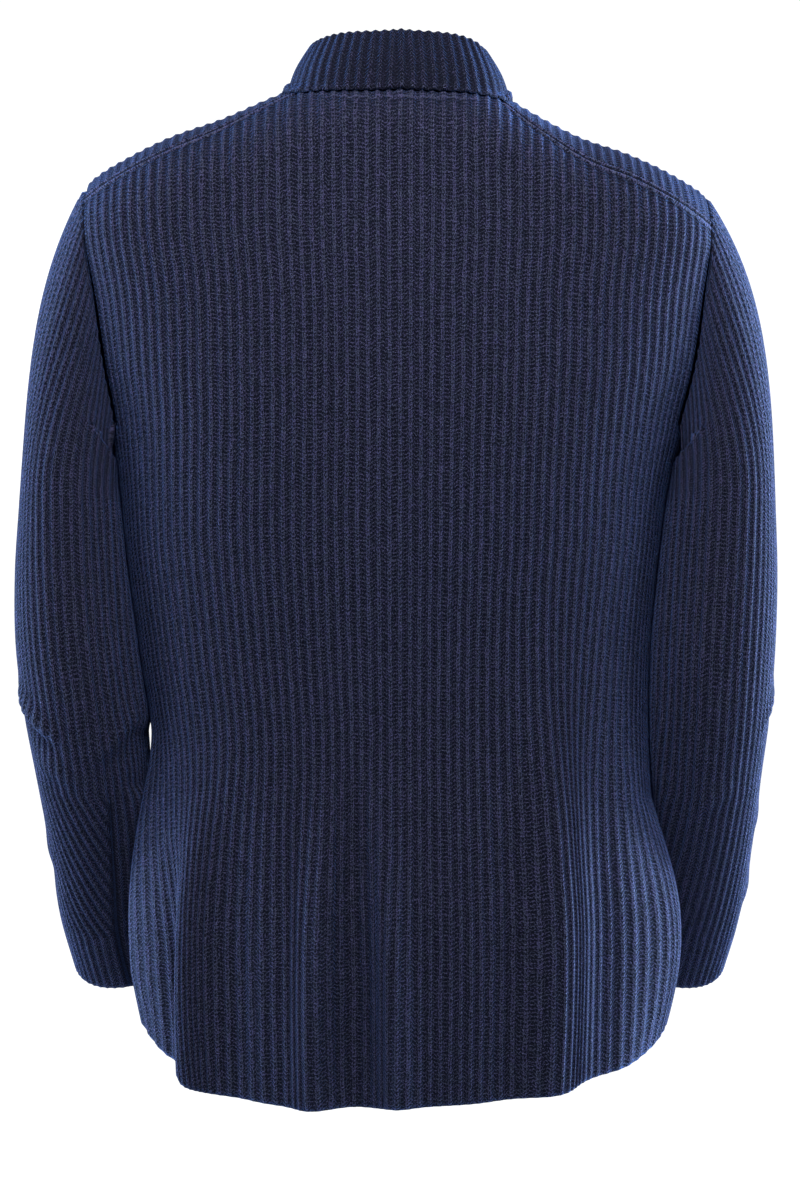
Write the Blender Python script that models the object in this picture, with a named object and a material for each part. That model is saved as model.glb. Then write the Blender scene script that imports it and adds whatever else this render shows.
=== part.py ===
"""A worn rib-knit blazer, hollow and standing as it does on its wearer: one back, two fronts with
turned-back lapels, two set-in sleeves, a folded collar and three buttons.

Metres, +Z up. The fronts face -Y, the wearer's left is +X. The origin lies between the shoulders, level
with the side of the neck, where the wearer carries the garment.

Every piece of cloth is a wall: a plain inner face, and an outer face whose points are raised on each rib.
The body's inner faces lie on one form, given by short tables of its widths and depths at named heights.
The sleeves start at the body's own armhole edges, and the collar at its neck edges.
"""

import math

import bmesh
import bpy
import numpy as np
from mathutils import Vector
from mathutils.bvhtree import BVHTree

# ------------------------------------------------------------------ driving dimensions, in metres
WALL = 0.0020  # cloth between the ribs
RIB_RISE = 0.0013  # how far a rib stands above the cloth
THICK = WALL + RIB_RISE
SEAM_GAP = 0.0004  # parts two pieces where they are sewn
OVER = 0.0020  # parts a piece from the ribs that it lies on
RIB_PITCH = 0.0074

HALF_RIBS = 35  # ribs from the centre back to a side seam, and from the centre front
ARMHOLE_RIB = 31  # the rib that runs along the armhole
NECK_RIB = 9.5  # the rib that ends where the shoulder seam meets the neck
ROLL_RIB = 7.5  # the rib of a front at which its neck edge becomes the roll line
LAP_RIBS = 3  # ribs of each front past the centre
LAP_RISE = 0.0045  # the left front lies this far over the right one
UNDERARM_Z = -0.235
UNDERARM_DROP = 0.017  # the side seam's top is this far under UNDERARM_Z
BACK_NECK_Z = 0.002  # the neck's edge at the centre back
BOXY_X, BOXY_Y = 0.08, 0.25  # how far a section is squarer than an ellipse
LOWER_ROWS = 7  # rows of the body under the arms; above, the rows lie at these shares of the way up
UPPER_ROWS = {"back": (0.33, 0.62, 0.84, 1.0), "front": (0.30, 0.56, 0.72, 0.87, 1.0)}

ROLL_FOOT = (-0.022, -0.229)  # the left front's roll line, from its break: x, z
ROLL_HEAD = (0.0580, -0.027)  # and where it meets the neck edge
LAPEL_RIBS, LAPEL_ROWS = 8, 8

SLEEVE_RIBS, SLEEVE_HEAD_ROWS = 46, 4
SLEEVE_LEAVE = {1: 0.58, -1: 0.70}  # how far outward the left and the right sleeve leave the shoulder
COLLAR_RIBS = 58
BUTTON_RADIUS, BUTTON_THICKNESS, BUTTON_SIDES = 0.0115, 0.0035, 24
BUTTON_HEIGHTS = (-0.266, -0.382, -0.498)

# The form at each height: half widths to the wearer's left and right, and depths behind and before.
BODY = {
    "z": (-0.730, -0.660, -0.600, -0.540, -0.470, -0.400, -0.330, -0.280, -0.235, -0.190, -0.150, -0.100, -0.050,
          0.030),
    "left": (0.182, 0.185, 0.186, 0.184, 0.181, 0.191, 0.200, 0.205, 0.213, 0.226, 0.236, 0.247, 0.249, 0.249),
    "right": (0.186, 0.189, 0.190, 0.186, 0.182, 0.183, 0.189, 0.196, 0.209, 0.225, 0.235, 0.244, 0.243, 0.243),
    "back": (0.129, 0.131, 0.127, 0.116, 0.106, 0.107, 0.116, 0.122, 0.125, 0.126, 0.125, 0.121, 0.115, 0.108),
    "front": (0.124, 0.124, 0.122, 0.119, 0.117, 0.118, 0.121, 0.122, 0.121, 0.117, 0.111, 0.100, 0.086, 0.066),
}

# The line of the shoulders, which leans a little to the wearer's right, the radius by which the cloth
# rounds over it, and how far behind it, as an angle of that rounding, the shoulder seams lie.
SHOULDER = {
    "x": (0.000, 0.060, 0.090, 0.130, 0.170, 0.200, 0.220, 0.235, 0.250),
    "left": (0.027, 0.017, 0.006, -0.011, -0.025, -0.0395, -0.051, -0.063, -0.080),
    "right": (0.027, 0.015, -0.003, -0.024, -0.038, -0.052, -0.064, -0.076, -0.092),
    "radius": (0.054, 0.056, 0.058, 0.058, 0.056, 0.052, 0.050, 0.048, 0.046),
    "seam_left": (0.44, 0.46, 0.52, 0.62, 0.70, 0.72, 0.73, 0.74, 0.75),
    "seam_right": (0.46, 0.54, 0.68, 0.82, 0.88, 0.94, 0.97, 0.99, 1.00),
}

# The hem: highest at the side seams.
HEM = {
    "rib": (0, 10, 19, 25, 28, 31, 33, 35),
    "back_left": (-0.7230, -0.7240, -0.716, -0.706, -0.693, -0.677, -0.670, -0.665),
    "back_right": (-0.7230, -0.7190, -0.710, -0.701, -0.691, -0.680, -0.672, -0.667),
    "front": (-0.702, -0.702, -0.702, -0.699, -0.693, -0.682, -0.674, -0.667),
}

# The largest folds. Each is a ridge down the cloth, or a trough where its rise is negative. Its place is
# counted in ribs from the centre back, the wearer's left positive, at its top and at its bottom.
FOLDS = {
    "top_rib": (7.0, 2.6, 5.2, 26.0, 21.5, 32.5, -24.5, -31.0, -18.0, 46.0, 60.0, -48.0, -58.0),
    "bottom_rib": (10.0, -0.8, 4.6, 26.0, 21.5, 32.0, -24.5, -30.0, -17.0, 48.0, 57.0, -47.0, -59.0),
    "top_z": (-0.47, -0.47, -0.47, -0.52, -0.52, -0.52, -0.44, -0.51, -0.44, -0.44, -0.42, -0.46, -0.40),
    "bottom_z": (-0.82, -0.82, -0.82, -0.80, -0.82, -0.80, -0.82, -0.71, -0.82, -0.82, -0.82, -0.82, -0.82),
    "width": (2.6, 2.4, 2.2, 2.2, 2.6, 2.6, 3.4, 3.6, 3.4, 4.0, 4.0, 4.2, 4.0),
    "rise": (0.006, 0.005, -0.005, 0.007, -0.006, 0.006, -0.006, 0.020, 0.004, 0.005, 0.005, 0.005, 0.005),
}

# The sleeves under their heads: where the plain face lies at each height, on the outer side and on the
# side of the body, for the left and the right one. slope leans a ring forward with the forearm.
SLEEVE = {
    "z": (-0.644, -0.600, -0.545, -0.490, -0.445, -0.400, -0.345, -0.290),
    "outer_left": (0.2450, 0.2552, 0.2610, 0.2690, 0.2762, 0.2830, 0.2830, 0.2790),
    "outer_right": (0.2444, 0.2552, 0.2625, 0.2670, 0.2718, 0.2750, 0.2768, 0.2753),
    "inner_left": (0.1895, 0.1950, 0.1935, 0.1905, 0.1930, 0.1995, 0.2065, 0.2125),
    "inner_right": (0.1900, 0.1960, 0.1950, 0.1910, 0.1905, 0.1915, 0.1965, 0.2030),
    "y": (-0.069, -0.053, -0.032, -0.010, 0.003, 0.006, 0.002, 0.000),
    "depth": (0.0395, 0.0450, 0.0500, 0.0550, 0.0590, 0.0615, 0.0630, 0.0640),
    "slope": (0.38, 0.38, 0.37, 0.28, 0.16, 0.04, 0.00, 0.00),
}

# The collar, from the centre back to its front end: how far out of the neck's edge and over it lie the
# fold and the free edge.
COLLAR = {
    "share": (0.00, 0.25, 0.50, 0.70, 0.85, 1.00),
    "fold_out": (-0.0175, -0.0160, -0.0120, -0.0070, -0.0040, -0.0020),
    "fold_up": (0.0440, 0.0410, 0.0290, 0.0200, 0.0130, 0.0085),
    "edge_out": (0.0050, 0.0060, 0.0065, 0.0170, 0.0310, 0.0440),
    "edge_up": (0.0010, -0.0010, -0.0020, -0.0060, -0.0140, -0.0200),
}

NAVY = (0.022, 0.030, 0.085)
HORN = (0.020, 0.017, 0.016)


def table(columns, name, at):
    """One column of a table, read at the given places along its first column by a smooth curve."""
    keys = np.asarray(next(iter(columns.values())), float)
    values = np.asarray(columns[name], float)
    slopes = np.gradient(values, keys)
    at = np.clip(np.asarray(at, float), keys[0], keys[-1])
    i = np.clip(np.searchsorted(keys, at) - 1, 0, len(keys) - 2)
    span = keys[i + 1] - keys[i]
    t = (at - keys[i]) / span
    start, end = values[i], values[i + 1]
    lean = (1 - t) * slopes[i] - t * slopes[i + 1]
    chord = (end - start) / span * (1 - 2 * t)
    return start + (end - start) * t + span * t * (1 - t) * (lean - chord)


def smooth(x, low, high):
    """0 before low, 1 after high, and a soft step between them."""
    t = np.clip((np.asarray(x, float) - low) / (high - low), 0, 1)
    return t * t * (3 - 2 * t)


def unit(vectors):
    return vectors / np.linalg.norm(vectors, axis=-1, keepdims=True)


def spaced(points, count, closed=False):
    """Points at even distances along a line of points."""
    if closed:
        points = np.concatenate([points, points[:1]])
    length = np.concatenate([[0], np.cumsum(np.linalg.norm(np.diff(points, axis=0), axis=1))])
    places = np.linspace(0, length[-1], count, endpoint=not closed)
    return np.stack([np.interp(places, length, column) for column in points.T], -1)


# ------------------------------------------------------------------ the form of the body
def section(turn):
    """A section's shape: how far across and how deep a place lies, as shares of its half width and depth."""
    across = np.sin(turn) * (1 + BOXY_X * np.cos(turn) ** 2)
    deep = np.cos(turn) * (1 + BOXY_Y * np.sin(turn) ** 2)
    return across, deep


def even_turns(half_width, depth, end_turn):
    """The turns from the centre to end_turn, and the share of the way round at which each lies."""
    turn = np.linspace(0, end_turn, 400)
    across, deep = section(turn)
    length = np.hypot(np.diff(half_width * across), np.diff(depth * deep))
    length = np.concatenate([[0], np.cumsum(length)])
    return turn, length / length[-1]


ARMHOLE_TURN = math.radians(65)
WAIST_TURNS = even_turns(0.196, 0.116, math.pi / 2)
CHEST_TURNS = even_turns(0.248, 0.122, ARMHOLE_TURN)


def rib_turn(rib, z):
    """Where a rib lies round the body: 0 at the centre, a quarter turn at the side."""
    rib = np.abs(rib)
    low = np.interp(rib / HALF_RIBS, WAIST_TURNS[1], WAIST_TURNS[0])
    past = np.clip((rib - ARMHOLE_RIB) / (HALF_RIBS - ARMHOLE_RIB), 0, 1)
    high = np.interp(rib / ARMHOLE_RIB, CHEST_TURNS[1], CHEST_TURNS[0]) + past * (math.pi / 2 - ARMHOLE_TURN)
    return low + (high - low) * smooth(z, -0.33, -0.12)


def by_side(columns, x, at, name=""):
    """The left or the right column of a table, for places on either side."""
    return np.where(x >= 0, table(columns, name + "left", at), table(columns, name + "right", at))


def wall_point(rib, z, face):
    """A point of the form, before the cloth rounds over the shoulder. face is back or front."""
    across, deep = section(rib_turn(rib, z))
    side = np.where(np.asarray(rib) < 0, -1.0, 1.0)
    return side * by_side(BODY, side, z) * across, table(BODY, face, z) * deep


def depth_at(x, z, face):
    """The form's depth at a place that is found by x and not by its rib."""
    across, deep = section(np.linspace(0, math.pi / 2, 400))
    return table(BODY, face, z) * np.interp(np.abs(x) / by_side(BODY, x, z), across, deep)


def over_shoulder(x, h):
    """The height of a place h up its rib, and the turn that is left there to the shoulder's top."""
    radius, top = table(SHOULDER, "radius", np.abs(x)), by_side(SHOULDER, x, np.abs(x))
    spring = top - radius
    turn = math.pi / 2 - np.clip((h - spring) / radius, 0, math.pi)
    return np.where(h > spring, top - radius * (1 - np.cos(turn)), h), turn


def body_point(rib, h, face):
    """A point of the inner face. h runs up a rib: it is the height, then it goes on round the shoulder,
    and past the shoulder's top a front's rib comes down behind it."""
    rib, h = np.broadcast_arrays(np.asarray(rib, float), np.asarray(h, float))
    z = h
    for _ in range(6):
        x, y = wall_point(rib, z, face)
        z, turn = over_shoulder(x, h)
    y = np.where(turn >= 0, y, depth_at(x, z, "back")) * np.sin(turn)
    return np.stack([x, y if face == "back" else -y, z], -1)


def seam_h(rib, face):
    """How far up its rib a piece ends at the shoulder seam, which lies behind the shoulder's top."""
    z = np.full(np.shape(rib), -0.04)
    for _ in range(6):
        x, _ = wall_point(rib, z, face)
        z = by_side(SHOULDER, x, np.abs(x)) - 0.01
    radius, top = table(SHOULDER, "radius", np.abs(x)), by_side(SHOULDER, x, np.abs(x))
    behind = by_side(SHOULDER, x, np.abs(x), "seam_") * (1 if face == "front" else -1)
    return top - radius + radius * (math.pi / 2 + behind)


def fold_rise(rib, z, face):
    """How far the folds lift the cloth at a place."""
    round_rib = rib if face == "back" else np.where(rib < 0, -1, 1) * (2 * HALF_RIBS - np.abs(rib))
    total = np.zeros(np.broadcast(rib, z).shape)
    for top_rib, bottom_rib, top_z, bottom_z, width, rise in zip(*FOLDS.values()):
        down = np.clip((top_z - z) / (top_z - bottom_z), 0, 1)
        centre = top_rib + (bottom_rib - top_rib) * down
        total = total + rise * np.sin(math.pi * down) * np.exp(-(((round_rib - centre) / width) ** 2))
    return total


def lap_rise(x):
    """How far the left front is lifted where it lies over the right one."""
    return LAP_RISE * (1 - smooth(x, 0.030, 0.065))


def cloth_point(rib, h, face):
    """The inner face with its folds, and its outward normal."""
    d_rib, d_h = 0.05, 0.0004
    place = body_point(rib, h, face)
    along = body_point(rib + d_rib, h, face) - body_point(rib - d_rib, h, face)
    up = body_point(rib, h + d_h, face) - body_point(rib, h - d_h, face)
    normal = unit(np.cross(up, along) if face == "back" else np.cross(along, up))
    rise = fold_rise(rib, place[..., 2], face)
    return place + normal * rise[..., None], normal


# ------------------------------------------------------------------ walls of cloth
def cloth_wall(name, plain, normal, present=None, wrap=False, step=4):
    """A wall from a grid of its plain face: [rows, columns, 3]. Every second column of the other face is
    raised as a rib, and each facet of the plain face spans step columns. present says which cells of the
    grid are cloth; wrap joins the last column to the first."""
    rows, columns = plain.shape[:2]
    cells = columns if wrap else columns - 1
    if present is None:
        present = np.ones((rows - 1, cells), bool)
    raised = (np.arange(columns) + 1) % 2
    ribbed = plain + normal * (WALL + RIB_RISE * raised)[None, :, None]
    mesh = bmesh.new()
    made = {}

    def vertex(kind, row, column):
        key = (kind, row, column % columns)
        if key not in made:
            source = ribbed if kind == "ribbed" else plain
            made[key] = mesh.verts.new(source[row, column % columns])
        return made[key]

    def face(*corners):
        mesh.faces.new([vertex(*corner) for corner in corners])

    def there(row, column):
        column = column % cells if wrap else column
        return 0 <= row < rows - 1 and 0 <= column < cells and present[row, column]

    for row in range(rows - 1):
        for column in (c for c in range(cells) if there(row, c)):
            face(*(("ribbed", row + r, column + c) for r, c in ((0, 0), (0, 1), (1, 1), (1, 0))))
        for first in (c for c in range(0, cells, step) if there(row, c)):
            last = first + step
            face(*(("plain", r, c) for r, c in ((row, first), (row + 1, first), (row + 1, last), (row, last))))
            for edge, beyond in ((row, row - 1), (row + 1, row + 1)):
                if not there(beyond, first):
                    for fan in edge_fans(edge, first, last):
                        face(*fan)
            for edge, beyond in ((first, first - 1), (last, last)):
                if not there(row, beyond):
                    face(*((k, r, edge) for k, r in
                           (("plain", row), ("ribbed", row), ("ribbed", row + 1), ("plain", row + 1))))
    return finish(name, mesh)


def edge_fans(row, first, last):
    """The faces that close a wall's edge along one row, where many ribbed points meet two plain ones."""
    middle = (first + last) // 2
    for column in range(first, last):
        near = first if column < middle else last
        yield ("plain", row, near), ("ribbed", row, column), ("ribbed", row, column + 1)
    yield ("plain", row, first), ("ribbed", row, middle), ("plain", row, last)


def finish(name, mesh, colour=NAVY, roughness=0.9):
    """Makes the object of a piece, with its faces outward and its material."""
    bmesh.ops.recalc_face_normals(mesh, faces=mesh.faces)
    data = bpy.data.meshes.new(name)
    mesh.to_mesh(data)
    mesh.free()
    part = bpy.data.objects.new(name, data)
    bpy.context.scene.collection.objects.link(part)
    material = bpy.data.materials.new(name)
    material.use_nodes = True
    shader = material.node_tree.nodes["Principled BSDF"]
    shader.inputs["Base Color"].default_value = (*colour, 1)
    shader.inputs["Roughness"].default_value = roughness
    data.materials.append(material)
    return part


# ------------------------------------------------------------------ the back and the fronts
def h_of(x, z):
    """How far up its rib a place lies, from its height."""
    radius, top = table(SHOULDER, "radius", np.abs(x)), by_side(SHOULDER, x, np.abs(x))
    turn = np.arccos(np.clip(1 - (top - z) / radius, -1, 1))
    return np.where(z > top - radius, top - radius + radius * (math.pi / 2 - turn), z)


def roll_h(ribs, side):
    """How far up its rib a front goes where it ends at the roll line."""
    z = np.full(np.shape(ribs), -0.1)
    for _ in range(40):
        x, _ = wall_point(side * ribs, z, "front")
        share = np.clip((side * x - ROLL_FOOT[0]) / (ROLL_HEAD[0] - ROLL_FOOT[0]), 0, 1)
        z = 0.5 * z + 0.5 * (ROLL_FOOT[1] + (ROLL_HEAD[1] - ROLL_FOOT[1]) * share)
    return h_of(x, z)


def neck_h(ribs, face, side):
    """How far up its rib a piece ends at the neck: behind, a round edge; before, one that meets the roll line."""
    corner = seam_h(side * np.where(ribs < 0, -NECK_RIB, NECK_RIB), face)
    if face == "back":
        middle = h_of(0, BACK_NECK_Z)
        return corner + (middle - corner) * np.sqrt(1 - np.clip(np.abs(ribs) / NECK_RIB, 0, 1) ** 2)
    head = roll_h(np.array([ROLL_RIB]), side)
    share = np.clip((ribs - ROLL_RIB) / (NECK_RIB - ROLL_RIB), 0, 1)
    return np.where(ribs <= ROLL_RIB, roll_h(ribs, side), head + (corner - head) * share**0.8)


def panel(face, side=0):
    """The grid of the back, or of the front on one side: its points, their normals, its ribs and its cells."""
    first = -HALF_RIBS if face == "back" else -LAP_RIBS
    ribs = np.arange(2 * first, 2 * HALF_RIBS + 1) / 2
    across = np.clip(ribs, -HALF_RIBS + 0.03, HALF_RIBS - 0.03)  # leaves the gap of the side seams
    mirror = -1 if side < 0 and face == "front" else 1
    hem = by_side(HEM, ribs, np.abs(ribs), "back_") if face == "back" else table(HEM, face, np.abs(ribs))
    past = np.clip((np.abs(ribs) - ARMHOLE_RIB) / (HALF_RIBS - ARMHOLE_RIB), 0, 1)
    split = UNDERARM_Z - UNDERARM_DROP * np.sin(past * math.pi / 2)
    seam = seam_h(mirror * ribs, face) - SEAM_GAP
    top = np.where(np.abs(ribs) < NECK_RIB, neck_h(ribs, face, mirror) - SEAM_GAP, seam)
    low = np.linspace(0, 1, LOWER_ROWS + 1)[:, None]
    high = np.array(UPPER_ROWS[face])[:, None]
    h = np.concatenate([hem + (split - hem) * low, split + (top - split) * high])
    plain, normal = cloth_point(mirror * across[None, :], h, face)
    if side > 0 and face == "front":
        plain = plain + normal * lap_rise(plain[..., 0])[..., None]
    present = np.ones((len(h) - 1, len(ribs) - 1), bool)
    present[LOWER_ROWS:, np.abs(ribs[:-1] + 0.25) > ARMHOLE_RIB] = False
    return plain, normal, ribs, present


def make_panel(name, face, side=0):
    plain, normal, _, present = panel(face, side)
    return cloth_wall(name, plain, normal, present)


def front_at(x, z, side):
    """The inner face of a front, found by its place as seen from before, and its outward normal."""

    def place(x, z):
        radius, top = table(SHOULDER, "radius", np.abs(x)), by_side(SHOULDER, x, np.abs(x))
        turn = np.arccos(np.clip(1 - (z - top + radius) / radius, -1, 1))
        sine = np.where(z > top - radius, np.sqrt(np.clip(1 - ((z - top + radius) / radius) ** 2, 0, 1)), 1)
        return np.stack([x, -depth_at(x, z, "front") * sine, z], -1)

    d = 0.0005
    along = place(x + d, z) - place(x - d, z)
    up = place(x, z + d) - place(x, z - d)
    normal = unit(np.cross(along, up))
    lift = lap_rise(x) if side > 0 else np.zeros(np.shape(x))
    return place(x, z) + normal * lift[..., None], normal


# ------------------------------------------------------------------ the lapels
def make_lapel(name, side):
    """A front's turned-back edge. It starts on the roll line, wraps the front's edge and lies on the front."""
    foot, head = np.array(ROLL_FOOT), np.array(ROLL_HEAD)
    length = np.linalg.norm(head - foot)
    up = (head - foot) / length
    out = np.array([up[1], -up[0]])
    across = np.concatenate([[-OVER, -OVER, 0.0], np.arange(1, 2 * LAPEL_RIBS - 1) * RIB_PITCH / 2])
    level = np.full(len(across), THICK + OVER)
    level[:2] = OVER / 2, THICK
    low = 0.74 * (np.clip(across, 0, 1) / across[-1]) ** 1.15
    if side < 0:
        low = np.maximum(low, 0.36)  # it stops where the left front covers it
    high = 0.975 - 0.13 * np.clip(across, 0, 1) / across[-1]
    share = low + (high - low) * np.linspace(0, 1, LAPEL_ROWS + 1)[:, None]
    places = foot + up * (share * length)[..., None] + out * across[None, :, None]
    base, lift = front_at(side * places[..., 0], places[..., 1], side)
    plain = base + lift * level[None, :, None]
    toward = lift.copy()
    toward[:, :2] -= np.array([side * out[0], 0, out[1]])
    return cloth_wall(name, plain, grid_normals(plain, toward), step=2)


def grid_normals(grid, toward, wrap=False):
    """Normals of a grid, each on the side of the vector that is given for it."""
    if wrap:
        along = np.roll(grid, -1, axis=1) - np.roll(grid, 1, axis=1)
    else:
        along = np.gradient(grid, axis=1)
    normal = unit(np.cross(along, np.gradient(grid, axis=0)))
    flip = np.sign(np.sum(normal * toward, axis=-1, keepdims=True))
    return normal * np.where(flip == 0, 1, flip)


# ------------------------------------------------------------------ the sleeves
def armhole(side):
    """The body's armhole edge from the side seam: up the back, over the shoulder, down the front."""
    edges = []
    for face in ("back", "front"):
        plain, normal, ribs, _ = panel(face, side)
        sign = side if face == "back" else 1
        columns = [np.argmin(np.abs(ribs - sign * rib)) for rib in np.arange(HALF_RIBS, ARMHOLE_RIB - 0.1, -0.5)]
        line = [(plain[LOWER_ROWS, c], normal[LOWER_ROWS, c]) for c in columns]
        line += [(plain[r, columns[-1]], normal[r, columns[-1]]) for r in range(LOWER_ROWS + 1, len(plain))]
        edges.append(line)
    loop = edges[0] + edges[1][::-1]
    both = np.array([np.concatenate(pair) for pair in loop])
    length = np.concatenate([[0], np.cumsum(np.linalg.norm(np.diff(both[:, :3], axis=0), axis=1))])
    places = np.linspace(0, length[-1], 2 * SLEEVE_RIBS, endpoint=False)
    both = np.stack([np.interp(places, length, column) for column in both.T], -1)
    return both[:, :3], unit(both[:, 3:])


def sleeve_ring(side, z):
    """One ring of a sleeve: its points, evenly spaced, from the side of the body by the back."""
    name = "left" if side > 0 else "right"
    outer, inner = table(SLEEVE, "outer_" + name, z), table(SLEEVE, "inner_" + name, z)
    middle, half = (outer + inner) / 2, (outer - inner) / 2
    y, depth, slope = (table(SLEEVE, column, z) for column in ("y", "depth", "slope"))
    turn = np.linspace(0, 2 * math.pi, 400, endpoint=False)
    x = middle - half * np.cos(turn) * (1 + 0.06 * np.sin(turn) ** 2)
    forward = depth * np.sin(turn) * (1 + 0.10 * np.cos(turn) ** 2)
    ring = np.stack([side * x, y + forward, z - slope * forward], -1)
    return spaced(ring, 2 * SLEEVE_RIBS, closed=True)


def make_sleeve(name, side):
    rings = np.array([sleeve_ring(side, z) for z in SLEEVE["z"][::-1]])
    start, start_normal = armhole(side)
    share = np.arange(2 * SLEEVE_RIBS) / (2 * SLEEVE_RIBS)
    top = np.exp(-(((share - 0.5) / 0.15) ** 2))[:, None]
    from_top = np.array([side * SLEEVE_LEAVE[side], 0, -1.0])
    leave = unit(from_top * top + np.array([side * 0.12, 0, -1.0]) * (1 - top))
    down = unit(rings[1] - rings[0])
    centre = rings.mean(axis=1)
    edge = np.roll(start, -1, axis=0) - np.roll(start, 1, axis=0)
    across = -side * unit(np.cross(edge, start_normal))
    normal = start_normal
    for _ in range(2):
        # Sewn edge to edge where the sleeve goes on from the body, and side by side under the arm.
        beside = start_normal - normal
        beside = beside * np.clip(4 * np.sum(beside * leave, axis=-1, keepdims=True), 0, 1)
        seam = start + (THICK + SEAM_GAP) * beside + SEAM_GAP * across
        reach = 0.36 * np.linalg.norm(rings[0] - seam, axis=-1)[:, None]
        t = np.linspace(0, 1, SLEEVE_HEAD_ROWS + 1)[:-1, None, None]
        head = (
            (1 - t) ** 3 * seam
            + 3 * t * (1 - t) ** 2 * (seam + reach * leave)
            + 3 * t**2 * (1 - t) * (rings[0] - reach * down)
            + t**3 * rings[0]
        )
        grid = np.concatenate([head, rings])
        middle = np.concatenate([np.repeat(centre[:1], SLEEVE_HEAD_ROWS, axis=0), centre])[:, None, :]
        away = grid - middle
        away[:SLEEVE_HEAD_ROWS, :, 2] = 0
        away[:SLEEVE_HEAD_ROWS] += np.array([0, 0, 0.02]) * top
        normals = grid_normals(grid, away, wrap=True)
        flush = smooth(np.sum(normals[0] * start_normal, axis=-1, keepdims=True), 0.5, 0.9)
        normal = normals[0].copy()
        normals[0] = unit(normal * (1 - flush) + start_normal * flush)
    return cloth_wall(name, grid, normals, wrap=True)


# ------------------------------------------------------------------ the collar
def neck_edge():
    """The neck's edge, from the right roll line round the back to the left one."""
    lines = []
    for face, side, low, high in (("front", -1, ROLL_RIB, NECK_RIB), ("back", 0, -NECK_RIB, NECK_RIB),
                                  ("front", 1, NECK_RIB, ROLL_RIB)):
        plain, _, ribs, _ = panel(face, side)
        step = 0.5 if high > low else -0.5
        lines += [plain[-1, np.argmin(np.abs(ribs - rib))] for rib in np.arange(low, high + step / 2, step)]
    return np.array(lines)


def make_collar(panels):
    count = 2 * COLLAR_RIBS + 1
    neck = spaced(neck_edge(), count)
    for _ in range(12):
        neck[1:-1, :2] = (neck[:-2] + 2 * neck[1:-1] + neck[2:])[:, :2] / 4
    along = np.gradient(neck, axis=0)
    out = unit(np.stack([along[:, 1], -along[:, 0], np.zeros(count)], -1))
    out *= np.sign(np.sum(out * (neck - neck.mean(axis=0)), axis=-1, keepdims=True))
    share = np.abs(np.linspace(-1, 1, count))
    fold_out, fold_up, edge_out, edge_up = (table(COLLAR, name, share) for name in list(COLLAR)[1:])
    profile = np.array([
        (-3 * SEAM_GAP + 0 * share, 2 * SEAM_GAP + 0 * share),
        (0.5 * fold_out - 0.0025, 0.5 * fold_up),
        (fold_out - 0.0025, fold_up - 0.0035),
        (fold_out + 0.0015, fold_up),
        (fold_out + 0.0050, fold_up - 0.0035),
        (0.5 * (fold_out + edge_out) + 0.0040, 0.5 * (fold_up + edge_up)),
        (edge_out, edge_up),
    ])
    grid = neck + out * profile[:, 0, :, None] + np.array([0, 0, 1]) * profile[:, 1, :, None]
    away = unit(out * 0.6 + (0, 0, 0.8))
    clear = OVER * (1.6 + 1.4 * share**2)
    for row in range(4, len(grid)):
        grid[row] = [lifted(panels, *each) for each in zip(grid[row], away, clear)]
    toward = np.array([-out, -out, -out, 0 * out + (0, 0, 1), out + (0, 0, 1), out + (0, 0, 1), out + (0, 0, 1)])
    return cloth_wall("collar", grid, grid_normals(grid, toward))


def lifted(trees, point, away, clear, reach=0.05):
    """A point, moved out to lie clear of the pieces that it rests on."""
    start = Vector(point + away * reach)
    distances = [tree.ray_cast(start, Vector(-away), reach + clear)[3] for tree in trees]
    near = min([d for d in distances if d is not None], default=reach + clear)
    return point + away * (reach + clear - near)


def tree_of(part):
    return BVHTree.FromPolygons([v.co for v in part.data.vertices], [p.vertices for p in part.data.polygons])


# ------------------------------------------------------------------ the buttons
def make_button(name, z):
    base, normal = front_at(np.array(0.0), np.array(z), 1)
    mesh = bmesh.new()
    bmesh.ops.create_cone(mesh, cap_ends=True, segments=BUTTON_SIDES, radius1=BUTTON_RADIUS,
                          radius2=BUTTON_RADIUS, depth=BUTTON_THICKNESS)
    part = finish(name, mesh, HORN, 0.35)
    outward = Vector(normal)
    part.location = Vector(base) + outward * (THICK + SEAM_GAP + BUTTON_THICKNESS / 2)
    part.rotation_mode = "QUATERNION"
    part.rotation_quaternion = outward.to_track_quat("Z", "Y")


def main():
    for old in list(bpy.data.objects):
        bpy.data.objects.remove(old, do_unlink=True)
    back = make_panel("back", "back")
    fronts = [make_panel("front_left", "front", 1), make_panel("front_right", "front", -1)]
    make_sleeve("sleeve_left", 1)
    make_sleeve("sleeve_right", -1)
    make_lapel("lapel_left", 1)
    make_lapel("lapel_right", -1)
    make_collar([tree_of(part) for part in [back, *fronts]])
    for number, z in enumerate(BUTTON_HEIGHTS, 1):
        make_button(f"button_{number}", z)


main()
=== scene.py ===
"""The looks of a worn rib-knit blazer: every knitted piece as a fine shell with its ribs, folds, creases and
seams, sewn buttons and buttonholes, in a plain pale studio.

Metres, +Z up. The fronts face -Y, the wearer's left is +X. The origin lies between the shoulders, level
with the side of the neck. The form is given by short tables of its widths and depths at named heights, as
in the model's solids, and read here on finer grids.
"""

import math

import bpy
import numpy as np
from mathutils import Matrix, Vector
from mathutils.bvhtree import BVHTree

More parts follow.
